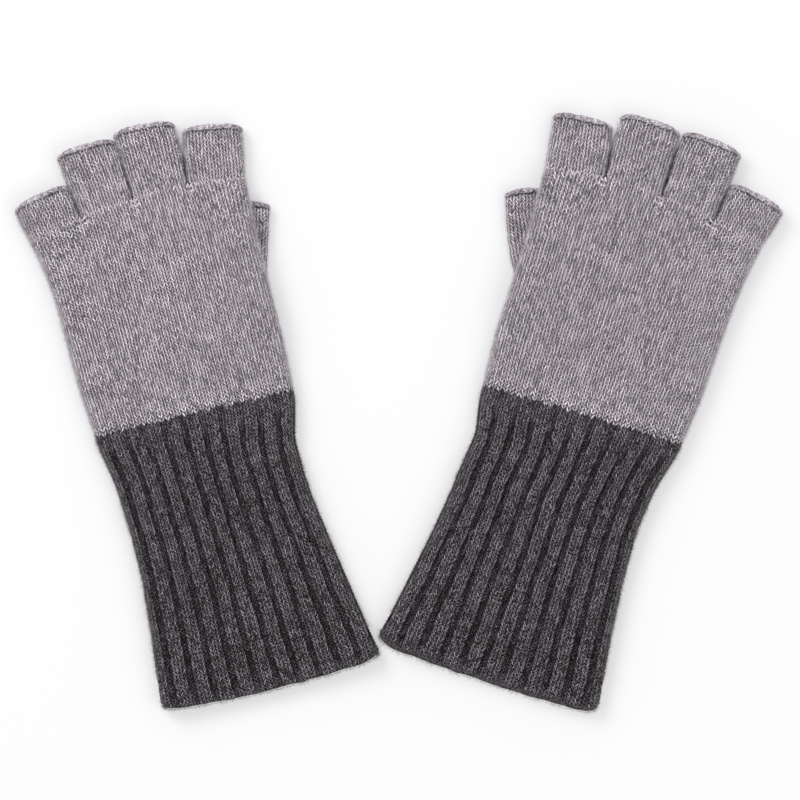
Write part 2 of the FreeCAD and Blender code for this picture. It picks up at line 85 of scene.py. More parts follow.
SIDES = ("left", "right")
FINGERS = ("little", "ring", "middle", "index")
JOINTS = {joint["name"]: joint for joint in frame["joints"]}
TUBE_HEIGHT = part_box("left_middle_finger")[1].z
THUMB_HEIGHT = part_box("left_thumb")[1].z

JOINT_GAP = 0.0003  # between two solids that a joint connects
WALL = 0.0012  # thickness of the knit
SLOPE_STEP = 1e-3  # the part of a wale or a row over which a slope is taken
RIB_WALES = 3
SHARED_WALES = 9  # wales that run on from the hand into each finger
CORNER_WALES = 2  # wales that start in each crotch
FINGER_SWELL = 0.00035  # how far a finger bulges on each side
FINGER_BOW = 0.0004  # how far the middle of a finger's mouth stands out
FINGER_SAG = 0.0012  # how far the top layer of a finger sinks at its mouth
FINGER_CORNER = 0.0015  # how round the mouth of a finger or thumb is at its corners
FINGER_OPENING = 0.006  # how far up a finger the wales of its crotches have their full width
THUMB_ROOT = 0.9  # how far down the thumb's rounded root reaches, in half widths
THUMB_EDGE_LIFT = -0.0004  # how far the thumb's edge stands out of its tube; below 0, it is sunk
TUCK = 0.00035  # how deep a tube starts inside the one that it grows from
TOUCHING = (0.014, 0.024, 0.013)  # how far up each two neighbouring fingers press together
PRESSED = (0.0002, 0.00035, 0.0005)  # how far each of them swells there
FINGER_HINGE = 0.006  # how far up a finger the second place of its hinge lies
CUFF_HINGE = 0.012  # how far down a cuff the second place of its hinge lies

FINE, UNDER, GROOVE = 8, 6, 4  # grid columns to a wale: most, a hand's underside, a rib's groove
RANDOM_ROWS = 128  # rows after which a table of random numbers starts again
SEEDS = {"hand": 11, "cuff": 23, "finger": 31, "thumb": 41, "crotch": 61, "rib": 71, "hem": 74, "edge": 5}

STRAY_BEND = 0.55  # how far a stray fibre bends, beside its length
STRAY_ROOT = 0.6  # how high in the relief of the stitches it starts
STRAY_CLEAR = 0.0002  # how far above the floor it stays
CROTCH_YARN = 0.00036  # radius of the yarn that closes a crotch
CAST_ON_SHARE = 0.6  # radius of the cast-on roll beside a bound-off edge
CAST_ON_LIFT = -0.0004  # how far that roll stands out of the welt; below 0, it is sunk


# ------------------------ settings


class KnitSizes(bpy.types.PropertyGroup):
    """Sizes of the knit."""

    hand_wales: bpy.props.IntProperty(name="Hand wales", description="Stitches round a hand", default=72)
    hand_courses: bpy.props.IntProperty(name="Hand courses", description="Rows in a hand", default=60)
    ribs: bpy.props.IntProperty(name="Ribs", description="Ribs round a cuff", default=22)
    cuff_courses: bpy.props.IntProperty(name="Cuff courses", description="Rows in a cuff", default=76)
    welt_courses: bpy.props.IntProperty(name="Welt courses", description="Rows in the welt", default=6)
    course_pitch: bpy.props.FloatProperty(
        name="Course pitch", description="Height of one row", default=0.00143, unit="LENGTH", precision=5
    )
    relief: bpy.props.FloatProperty(
        name="Stitch relief",
        description="How far the yarn stands out of the gaps between stitches",
        default=0.00055,
        unit="LENGTH",
        precision=5,
    )
    leg_rise: bpy.props.FloatProperty(
        name="Leg rise", description="Rows that each leg of a stitch climbs across half a wale", default=1.5
    )
    rib_relief: bpy.props.FloatProperty(
        name="Rib relief", description="Depth of the grooves in the cuff",
        default=0.0013, unit="LENGTH", precision=5,
    )
    edge_radius: bpy.props.FloatProperty(
        name="Edge radius", description="Radius of a bound-off edge",
        default=0.0011, unit="LENGTH", precision=5,
    )
    fuzz_length: bpy.props.FloatProperty(
        name="Fuzz length", description="Length of a stray fibre",
        default=0.0019, unit="LENGTH", precision=5,
    )
    fuzz_width: bpy.props.FloatProperty(
        name="Fuzz width", description="Thickness of a stray fibre",
        default=0.00007, unit="LENGTH", precision=6,
    )


class YarnColours(bpy.types.PropertyGroup):
    """Colours of the yarns."""

    light_fibre: bpy.props.FloatVectorProperty(
        name="Light fibre", description="Palest fibres of the hand",
        default=(0.96, 0.885, 0.957), subtype="COLOR",
    )
    dark_fibre: bpy.props.FloatVectorProperty(
        name="Dark fibre", description="Darkest fibres of the hand",
        default=(0.151, 0.134, 0.151), subtype="COLOR",
    )
    charcoal_light: bpy.props.FloatVectorProperty(
        name="Charcoal, light", description="Palest fibres of the cuff",
        default=(0.412, 0.37, 0.412), subtype="COLOR",
    )
    charcoal_dark: bpy.props.FloatVectorProperty(
        name="Charcoal, dark", description="Darkest fibres of the cuff",
        default=(0.012, 0.0102, 0.0123), subtype="COLOR",
    )


class StageSettings(bpy.types.PropertyGroup):
    """Floor, light and camera."""

    view_width: bpy.props.FloatProperty(
        name="View width", description="Width that the camera sees at the pair",
        default=0.320, unit="LENGTH",
    )
    view_x: bpy.props.FloatProperty(
        name="View X", description="Centre of the view across the pair",
        default=0.0013, unit="LENGTH", precision=5,
    )
    view_y: bpy.props.FloatProperty(
        name="View Y", description="Centre of the view along the pair",
        default=0.0045, unit="LENGTH", precision=5,
    )
    camera_height: bpy.props.FloatProperty(
        name="Camera height", description="Camera above the floor", default=2.0, unit="LENGTH"
    )
    floor_glow: bpy.props.FloatProperty(
        name="Floor glow", description="Share of the floor's own white that the camera sees", default=0.42
    )
    floor_colour: bpy.props.FloatVectorProperty(
        name="Floor", description="Colour of the floor", subtype="COLOR", default=(0.84, 0.83, 0.84)
    )


def sizes():
    """The knit's settings."""
    return bpy.context.scene.knit_sizes


# ------------------------ small maths


def smooth(value, low, high):
    """0 below low, 1 above high and an even S between them."""
    share = np.clip((value - low) / (high - low), 0.0, 1.0)
    return share * share * (3.0 - 2.0 * share)


def mix(first, second, share):
    """first at a share of 0 and second at 1."""
    return first + (second - first) * share


def across(*parts):
    """Arrays of X, Y and Z as one array of points."""
    return np.stack(np.broadcast_arrays(*parts), axis=-1)


def unit(vectors):
    """The vectors at length 1."""
    return vectors / np.maximum(np.linalg.norm(vectors, axis=-1, keepdims=True), 1e-12)


def fold_over(u, wales):
    """How far across a flat tube a place on its way round lies, 0 to 1 and back, and 1 on top, -1 below."""
    turn = np.mod(u, wales) / (0.5 * wales)
    on_top = turn < 1.0
    return np.where(on_top, turn, 2.0 - turn), np.where(on_top, 1.0, -1.0)


def half_ring(share, width, radius):
    """X and Z at a share of the way over a flat tube: a quarter circle up, a level run, a quarter down."""
    quarter = 0.5 * math.pi * radius
    level = width - 2.0 * radius
    way = share * (level + 2.0 * quarter)
    up = np.clip(way / radius, 0.0, 0.5 * math.pi)
    down = np.clip((way - quarter - level) / radius, 0.0, 0.5 * math.pi)
    run = np.clip(way - quarter, 0.0, level)
    x = -0.5 * width + radius * (1.0 - np.cos(up)) + run + radius * np.sin(down)
    return x, radius * (np.sin(up) + np.cos(down) - 1.0)


def crown(x, width, radius):
    """Height of a flat tube's top above its mid-height: level, and a quarter circle at each side."""
    past = np.clip(np.abs(x) - (0.5 * width - radius), 0.0, radius)
    return np.sqrt(radius * radius - past * past)


def wander(u, v, cell_u, cell_v, round_u, seed):
    """Smooth random waves between -1 and 1, closed after round_u wales.

    Random heights stand at the corners of cells, and an S curve joins them both ways.
    """
    cells = max(1, round(round_u / cell_u))
    table = np.random.default_rng(seed).uniform(-1.0, 1.0, (cells, RANDOM_ROWS))
    a = np.asarray(u) * cells / round_u
    b = np.asarray(v) / cell_v + RANDOM_ROWS / 4
    i = np.floor(a).astype(int)
    j = np.floor(b).astype(int)
    s = smooth(a - i, 0.0, 1.0)
    rows = j % RANDOM_ROWS, (j + 1) % RANDOM_ROWS
    low, high = (mix(table[i % cells, k], table[(i + 1) % cells, k], s) for k in rows)
    return mix(low, high, smooth(b - j, 0.0, 1.0))


def leg_random(u, v, round_u, seed):
    """A random number from -1 to 1 for each leg of each stitch."""
    legs = 2 * round_u
    table = np.random.default_rng(seed).uniform(-1.0, 1.0, (legs, RANDOM_ROWS))
    leg = np.floor(2.0 * u + 1e-6).astype(int)
    row = np.floor(v + 1e-6).astype(int) + RANDOM_ROWS // 8
    return table[leg % legs, row % RANDOM_ROWS]


# ------------------------ where the gloves lie


@dataclass
class Slack:
    """How a soft glove lies off its ideal shape: how far its sides stand out along it, and its hem."""

    little: tuple  # outwards on the little-finger side, at each place of ALONG
    thumb: tuple  # outwards on the thumb side
    hem_bow: float
    hem_drop: float
    hem_tilt: float
    under_slip: float  # how far the underside reaches below the top at the hem
    knuckles: tuple  # how far the two sides and three crotches at the knuckles lie towards the thumb
    tips: tuple  # the same for both sides of each finger at its tip
    mouths: tuple  # how far each finger's mouth rises towards the thumb
    thumb_spread: float  # how far the thumb's outer side stands out
    thumb_reach: float  # how far the thumb reaches past its solid
    thumb_bulge: float  # how far the thumb's outer side swells at mid-length
    thumb_tilt: float  # how far the thumb's mouth rises on its outer side

    def sides(self, y):
        """How far both sides stand out at y."""
        return np.interp(y, ALONG, self.little), np.interp(y, ALONG, self.thumb)


ALONG = (-0.111, -0.090, -0.060, -0.035, -0.018, 0.0, 0.020, 0.040, 0.060, 0.085)  # from the seam
LIES = {
    "left": Slack(
        little=(-0.0001, -0.0004, -0.0010, -0.0001, 0.0001, -0.0008, 0.0001, -0.0006, -0.0021, -0.0024),
        thumb=(0.0018, 0.0010, 0.0001, -0.0008, -0.0012, 0.0, -0.0003, -0.0006, -0.0005, 0.0),
        hem_bow=0.0020, hem_drop=0.00045, hem_tilt=-0.00045, under_slip=0.0006,
        knuckles=(0.0012, 0.0015, 0.0010, 0.0008, 0.0011),
        tips=((0.0011, 0.0020), (0.0006, 0.0018), (0.0, 0.0016), (0.0012, 0.0022)),
        mouths=(0.0, -0.0008, -0.0009, -0.0006),
        thumb_spread=0.0010, thumb_reach=0.0014, thumb_bulge=0.0, thumb_tilt=0.0012,
    ),
    "right": Slack(
        little=(0.0018, 0.0006, -0.0007, -0.0011, -0.0002, 0.0, 0.0013, 0.0005, -0.0006, -0.0013),
        thumb=(0.0025, 0.0020, 0.0018, 0.0020, 0.0004, 0.0006, 0.0006, -0.0001, -0.0002, 0.0),
        hem_bow=0.0012, hem_drop=-0.0013, hem_tilt=-0.0014, under_slip=0.0019,
        knuckles=(-0.0005, -0.0011, -0.0005, 0.0003, 0.0019),
        tips=((-0.0007, 0.0004), (-0.0003, 0.0014), (-0.0001, 0.0015), (0.0011, 0.0022)),
        mouths=(-0.0006, -0.0006, -0.0001, 0.0004),
        thumb_spread=0.0018, thumb_reach=0.0006, thumb_bulge=0.0010, thumb_tilt=0.0008,
    ),
}


class Lay:
    """A frame that a piece is worked out in: X across, Y along and Z up. The right glove mirrors X."""

    def __init__(self, side, origin, direction):
        self.mirror = 1.0 if side == "left" else -1.0
        self.origin = np.array(origin[:2])
        self.direction = unit(np.array(direction[:2]))
        self.along = np.array([-self.direction[1], self.direction[0]])

    def place(self, points):
        """Points of this frame in the row's frame."""
        flat = self.origin + self.mirror * points[..., :1] * self.direction + points[..., 1:2] * self.along
        return np.concatenate([flat, points[..., 2:]], axis=-1)

    def read(self, points):
        """Points of the row's frame in this frame."""
        offset = points[..., :2] - self.origin
        return across(self.mirror * (offset @ self.direction), offset @ self.along, points[..., 2])

    def solid(self, name):
        """The corners of a solid, in this frame."""
        mesh = frame["nodes"][name].data
        points = np.empty(3 * len(mesh.vertices), np.float32)
        mesh.vertices.foreach_get("co", points)
        return self.read(points.reshape(-1, 3).astype(float))

    def hinge(self, reach):
        """Two places on the middle line: the origin and a reach along it."""
        return [tuple(self.place(np.array([0.0, y, 0.5 * TUBE_HEIGHT]))) for y in (0.0, reach)]


class Tube:
    """What fingers and thumbs share: a flat tube with its own frame, courses and mouth."""

    wales = 2 * (SHARED_WALES + CORNER_WALES)
    first_row = 0
    start = -math.inf  # where the first row starts on a straight line
    creases = ()
    edge_lift = 0.0  # how far the bound-off edge stands out of the tube

    def count_courses(self, root):
        """Divides the length and a root below the origin into rows."""
        self.whole = self.length + root
        self.courses = round(self.whole / sizes().course_pitch)

    def mouth(self, y):
        """How far each side draws in at y towards a rounded corner of the mouth."""
        return 0.5 * FINGER_CORNER * smooth(y, self.length - FINGER_CORNER, self.length)

    def bulge(self, y):
        """0 at the root and the mouth and 1 at mid-length, a half wave."""
        return np.sin(np.pi * np.clip(y / self.length, 0.0, 1.0))


class Finger(Tube):
    """A finger: its frame, at the middle of its root, and its sizes."""

    first_row = -3
    start = -1.0

    def __init__(self, side, name):
        joint = JOINTS[f"{side}_{name}_bend"]
        lies = LIES[side]
        place = FINGERS.index(name)
        self.body = f"{side}_{name}"
        self.solid = f"{self.body}_finger"
        self.seed = SEEDS["finger"] + place
        self.lay = Lay(side, joint["pos_m"], joint["axis"])
        self.width = np.ptp(self.lay.solid(self.solid)[:, 0]) + 2.0 * JOINT_GAP
        self.length = self.lay.solid(f"{self.body}_edge")[:, 1].max()
        self.count_courses(0.0)
        self.roots = np.array(lies.knuckles[place : place + 2])
        self.root_width = self.width + np.diff(self.roots)[0]
        self.tips = np.array(lies.tips[place])
        self.tilt = lies.mouths[place]
        self.outer = {"little": -1.0, "index": 1.0}.get(name, 0.0)
        self.pressed = np.array([-1.0, 1.0]) * (0.0, *PRESSED, 0.0)[place : place + 2]
        reach = (0.0, *TOUCHING, 0.0)[place : place + 2]
        folds = (-0.5 * CORNER_WALES, SHARED_WALES + 0.5 * CORNER_WALES)
        self.creases = [(fold, y / self.length * self.courses) for fold, y in zip(folds, reach) if y]

    def sides(self, share):
        """How far both sides lie towards the thumb at a share of the finger's length."""
        share = np.clip(share, 0.0, 1.0)
        swell = np.sin(np.pi * share)
        return [mix(*ends, share) + out * swell for *ends, out in zip(self.roots, self.tips, self.pressed)]

    def surface(self, u, v):
        """A flat tube from its root. The wales of its crotches open out of nothing at the root.

        Towards the outer side of the hand, where there is no crotch, all wales have their full width
        at once.
        """
        knit = sizes()
        radius = 0.5 * TUBE_HEIGHT - knit.relief
        y = v * self.length / self.courses
        half_wales = 0.5 * self.wales
        place, side = fold_over(u + 0.5 * CORNER_WALES, self.wales)
        place = place * half_wales
        swell = FINGER_SWELL * self.bulge(y)
        out_low, out_high = self.sides(y / self.length)
        width = self.width - 2.0 * (knit.relief - swell + self.mouth(y)) + out_high - out_low
        level = width - 2.0 * radius
        whole = level + math.pi * radius
        even_x = np.clip((place - 0.5 * CORNER_WALES) / SHARED_WALES - 0.5, -0.5, 0.5) * width
        bent = radius * np.arcsin(np.clip((np.abs(even_x) - 0.5 * level) / radius, 0.0, 1.0))
        even_way = 0.5 * whole + np.sign(even_x) * (np.minimum(np.abs(even_x), 0.5 * level) + bent)
        grown = mix(0.12, 1.0, smooth(y, 0.0, FINGER_OPENING))
        grown = mix(grown, 1.0, smooth(self.outer * (2.0 * place / half_wales - 1.0), 0.0, 1.0))
        way = mix(even_way, whole * place / half_wales, grown)
        tuck = TUCK * (1.0 - smooth(y, -0.002, 0.0))
        x, rise = half_ring(way / whole, width, radius - tuck)
        p = x / width + 0.5
        off = 2.0 * p - 1.0
        open_end = smooth(y, 0.0, self.length)
        sag = np.where(side > 0.0, FINGER_SAG * open_end * (1.0 - off**2), 0.0)
        bow = (FINGER_BOW * (1.0 - off**2) - FINGER_CORNER * off**6 + self.tilt * off) * open_end
        return across(x + 0.5 * (out_low + out_high), y + bow, 0.5 * TUBE_HEIGHT + side * rise - sag)


class Thumb(Tube):
    """A thumb: its frame, at its pivot, and its sizes."""

    seed = SEEDS["thumb"]
    edge_lift = THUMB_EDGE_LIFT

    def __init__(self, side):
        self.lies = LIES[side]
        self.body = self.solid = f"{side}_thumb"
        pivot = np.array(JOINTS[f"{side}_thumb_swing"]["pos_m"][:2])
        low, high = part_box(f"{side}_thumb_edge")
        along = 0.5 * (np.array(low) + np.array(high))[:2] - pivot
        self.lay = Lay(side, pivot, np.array([along[1], -along[0]]))
        edge = self.lay.solid(f"{side}_thumb_edge")
        self.width = np.ptp(edge[:, 0])
        self.length = edge[:, 1].max() + self.lies.thumb_reach
        self.count_courses(0.5 * THUMB_ROOT * self.width)

    def surface(self, u, v):
        """A flat tube whose root is rounded in plan like the end of a mitten."""
        knit, lies = sizes(), self.lies
        half = 0.5 * self.width - knit.relief
        y = mix(-THUMB_ROOT * half, self.length, v / self.courses)
        out = lies.thumb_spread * smooth(y, -half, half) + lies.thumb_bulge * self.bulge(y)
        width = 2.0 * (np.sqrt(half * half - np.minimum(y, 0.0) ** 2) - self.mouth(y)) + out
        share, side = fold_over(u, self.wales)
        radius = np.minimum(0.5 * THUMB_HEIGHT - knit.relief, 0.45 * width)
        x, rise = half_ring(share, width, radius)
        off = 2.0 * x / width
        y = y + (lies.thumb_tilt * off - FINGER_CORNER * off**4) * smooth(y, 0.0, self.length)
        return across(x + 0.5 * out, y, 0.5 * THUMB_HEIGHT + side * rise)


class Glove:
    """One glove: its frame at the middle of the seam, its outline and what lies under it."""

    BULGE_WIDTH = 0.0008  # how far the thumb side bulges above the seam
    BULGE_LENGTH = 0.0585  # and up to where
    SPREAD_POWER = 1.5  # how late the little-finger side spreads
    FLARE_POWER = 1.15  # how late the cuff flares
    WAIST_START = 0.022  # how far below the seam the cuff is drawn in
    FLARE_START = 0.042  # and where it starts to flare
    PALM_SLOPE = 0.0125  # how long the underside rises beside the thumb
    BACK_SLOPE = 0.032  # and the top
    FLAT_AGAIN = 0.001  # how far short of the index finger both have come down
    FOLD_CAVITY = 0.0024  # room between both layers over the thumb
    SAG = 0.0009  # how far the top layer sinks
    LOBES_START = 0.90  # share of the hand's length where it starts to part into fingers
    HEM_CORNER = 0.0016  # how round the hem is at its corners
    HEM_LOOSE = 0.00028  # how unevenly the hem ends

    def __init__(self, side):
        self.side = side
        self.lies = LIES[side]
        joint = JOINTS[f"{side}_cuff_bend"]
        self.lay = Lay(side, joint["pos_m"], -np.array(joint["axis"]))
        self.fingers = [Finger(side, name) for name in FINGERS]
        self.thumb = Thumb(side)
        self.read_outline()
        self.read_pocket()

    def read_outline(self):
        """Takes the widths of hand and cuff and the knuckle line from the solids."""
        side = self.side
        hand = self.lay.solid(f"{side}_hand")
        cuff = self.lay.solid(f"{side}_cuff")
        welt = self.lay.solid(f"{side}_cuff_welt")
        hem = welt[welt[:, 1] < welt[:, 1].min() + JOINT_GAP]
        waist = cuff[np.abs(cuff[:, 1] + self.FLARE_START) < JOINT_GAP]
        self.seam_half = np.abs(hand[hand[:, 1] < JOINT_GAP][:, 0]).max()
        self.waist_half = 0.5 * np.ptp(waist[:, 0])
        self.hem_half = 0.5 * np.ptp(hem[:, 0])
        self.cuff_length = -welt[:, 1].min()
        self.lean = 0.5 * (hem[:, 0].min() + hem[:, 0].max()) / self.cuff_length
        ends = []
        for finger in self.fingers:
            x = np.array([-0.5, 0.5]) * finger.width + finger.roots
            ends.append(self.lay.read(finger.lay.place(across(x, 0.0, 0.0)))[:, :2])
        joined = [0.5 * (before[1] + after[0]) for before, after in zip(ends, ends[1:])]
        self.crotches = np.array([ends[0][0], *joined, ends[-1][1]])

    def read_pocket(self):
        """Takes the place of the pocket that the thumb lies in from the thumb."""
        thumb = self.thumb
        pivot = self.lay.read(np.array([*thumb.lay.origin, 0.0]))
        half = 0.5 * thumb.width
        self.pocket_x = pivot[0] - half - JOINT_GAP
        self.pocket_low = pivot[1] - half - JOINT_GAP
        self.pocket_high = pivot[1] + math.hypot(thumb.length, half) + 2.0 * JOINT_GAP
        self.lift_low = THUMB_HEIGHT + JOINT_GAP
        self.lift_high = self.lift_low + 2.0 * WALL + self.FOLD_CAVITY - TUBE_HEIGHT

    def lift(self, x, y, height, slope, run_out):
        """height over the thumb, falling to nothing along X and at both ends along Y."""
        end = self.crotches[-1][1] - self.FLAT_AGAIN
        over = smooth(x, self.pocket_x - slope, self.pocket_x)
        rise = smooth(y, self.pocket_low - slope, self.pocket_low)
        fall = smooth(y, self.pocket_high - run_out, end)
        return height * over * rise * (1.0 - fall)

    def hand(self, u, v):
        """The hand: a patch between the seam, the knuckle line and both sides, folded into a flat tube.

        A place is the sum of the mixes of opposite borders less the mix of the corners. Towards the
        knuckles the top and the underside part into four lobes, the sections of the fingers.
        """
        knit = sizes()
        radius = 0.5 * TUBE_HEIGHT - knit.relief
        share, side = fold_over(u, knit.hand_wales)
        t = v / knit.hand_courses
        first, last = self.crotches[0], self.crotches[-1]
        inset = knit.relief
        half = self.seam_half - inset
        low_y, high_y = t * first[1], t * last[1]
        swell = self.BULGE_WIDTH * np.sin(np.pi * np.clip(high_y / self.BULGE_LENGTH, 0.0, 1.0))
        above_seam = 1.0 - np.clip(t, 0.0, 1.0) ** 6
        out_low, out_high = (out * above_seam for out in self.lies.sides(t * first[1]))
        low_x = -half + (first[0] + inset + half) * np.abs(t) ** self.SPREAD_POWER - out_low
        high_x = half + (last[0] - inset - half) * t + swell + out_high
        width = high_x - low_x
        x, _ = half_ring(share, width, radius)
        shared = smooth(t, 0.72, 1.0) * (1.0 - smooth(np.abs(2.0 * share - 1.0), 0.62, 0.94))
        p = mix(x / width + 0.5, share, shared)
        flat = crown((p - 0.5) * width, width, radius)
        place = np.clip(4.0 * p, 0.0, 4.0)
        nearest = np.minimum(place.astype(int), 3)
        widths = np.array([finger.root_width for finger in self.fingers])[nearest]
        lobes = crown((place - nearest - 0.5) * widths, widths, radius)
        rise = mix(flat, lobes, smooth(t, self.LOBES_START, 1.0))
        knots = np.arange(5.0)
        inner = self.crotches[:, 0] + np.array([inset, 0.0, 0.0, 0.0, -inset])
        top_x, top_y = np.interp(place, knots, inner), np.interp(place, knots, self.crotches[:, 1])
        bottom_x = mix(-half, half, p)
        x = mix(low_x, high_x, p) + mix(bottom_x, top_x, t) - mix(bottom_x, mix(inner[0], inner[-1], p), t)
        y = mix(low_y, high_y, p) + t * (top_y - mix(first[1], last[1], p))
        z = 0.5 * TUBE_HEIGHT + side * rise
        z = z - self.sag(p, side) * (1.0 - smooth(t, 0.7, 1.0))
        bottom = self.lift(x, y, self.lift_low, self.PALM_SLOPE, 0.0)
        top = self.lift(x, y, self.lift_high, self.BACK_SLOPE, 0.5 * self.PALM_SLOPE)
        return across(x, y, z + mix(bottom, top, z / TUBE_HEIGHT))

    def sag(self, p, side):
        """How far the top layer of a wide tube sinks between its folded sides."""
        return np.where(side > 0.0, self.SAG * (1.0 - (2.0 * p - 1.0) ** 2), 0.0)

    def cuff(self, u, v):
        """The cuff: a flat tube that draws in below the seam and flares to a bowed hem."""
        knit = sizes()
        radius = 0.5 * TUBE_HEIGHT - knit.relief
        down = self.cuff_length * (1.0 - v / knit.cuff_courses)
        below = np.maximum(down, 0.0)
        half = self.seam_half - knit.relief
        narrow = half + (self.waist_half - self.seam_half) * smooth(below, 0.0, self.WAIST_START)
        flare = np.clip((below - self.FLARE_START) / (self.cuff_length - self.FLARE_START), 0.0, 1.0)
        to_hem = self.cuff_length - below
        corner = 0.4 * self.HEM_CORNER * (1.0 - smooth(to_hem, 0.0, self.HEM_CORNER))
        out_low, out_high = self.lies.sides(-below)
        width = 2.0 * (narrow + (self.hem_half - self.waist_half) * flare**self.FLARE_POWER - corner)
        width = width + out_low + out_high
        share, side = fold_over(rib_way(u), 1.0)
        x, rise = half_ring(share, width, radius - TUCK * smooth(down, 0.0, -0.001))
        p = x / width + 0.5
        fall = below / self.cuff_length
        off = 2.0 * p - 1.0
        bow = self.lies.hem_bow * (1.0 - off**2) + self.lies.hem_drop + self.lies.hem_tilt * off
        bow = bow - self.HEM_CORNER * off**14
        slip = np.where(side < 0.0, self.lies.under_slip, 0.0) * np.minimum(rise / radius, 1.0)
        loose = self.HEM_LOOSE * wander(u, 0.0 * u, 1.3, 1.0, RIB_WALES * knit.ribs, SEEDS["hem"])
        y = -down - bow * fall**3 - slip * fall**2 + loose * smooth(fall, 0.96, 1.0)
        z = 0.5 * TUBE_HEIGHT + side * rise - self.sag(p, side) * (1.0 + fall)
        return across(x + below * self.lean + 0.5 * (out_high - out_low), y, z)


def rib_way(u):
    """Share of the way round a cuff: the two knit wales of each rib take more of it than the purl wale."""
    knit_share = 0.7
    rib = np.floor(u / RIB_WALES)
    part = u / RIB_WALES - rib
    wide = (RIB_WALES - 1.0) / RIB_WALES
    purl = mix(knit_share, 1.0, (part - wide) / (1.0 - wide))
    way = np.where(part < wide, knit_share * part / wide, purl)
    return (rib + way) / sizes().ribs


def rib_crest(u, v):
    """1 on the two knit wales of a rib and 0 in the purl groove, with a steep S that wanders between them.

    The groove starts out of nothing under the seam, in each rib a little sooner or later, and grows
    shallow in the last rows above the hem.
    """
    wales = RIB_WALES * sizes().ribs
    loose = 0.16 * wander(u, v, 2.0, 4.0, wales, SEEDS["rib"])
    part = np.mod(u + loose + 0.5, RIB_WALES) - 0.5
    crest = smooth(part, -0.30, 0.10) * (1.0 - smooth(part, 1.90, 2.30))
    sooner = 1.2 * wander(u, 0.0 * u, 1.5, 1.0, wales, SEEDS["rib"] + 1)
    below = sizes().cuff_courses - v + sooner
    grown = mix(0.15, 1.0, smooth(below, 2.5, 9.5)) * mix(0.35, 1.0, smooth(v, 0.6, 2.8))
    return 1.0 - (1.0 - crest) ** 2 * grown


# ------------------------ knitted surfaces


def tent(u):
    """0 along the middle of a wale and 1 along its sides."""
    return np.abs(2.0 * np.mod(u, 1.0) - 1.0)


def knit_height(u, row):
    """Height of a knit stitch's yarn, 0 to 1: a rounded strand across each leg that dips at both ends."""
    swell = np.maximum(np.sin(np.pi * tent(u)), 0.0) ** 0.4
    strand = np.abs(np.sin(np.pi * row)) ** 1.35
    return (0.38 + 0.62 * swell) * (0.07 + 0.93 * strand)


def purl_height(u, row):
    """Height of a purl bump, 0 to 1: a low arch across the wale in every course."""
    arch = np.cos(np.pi * (np.mod(u, 1.0) - 0.5)) ** 0.5
    return arch * (0.5 + 0.5 * np.cos(2.0 * np.pi * row))


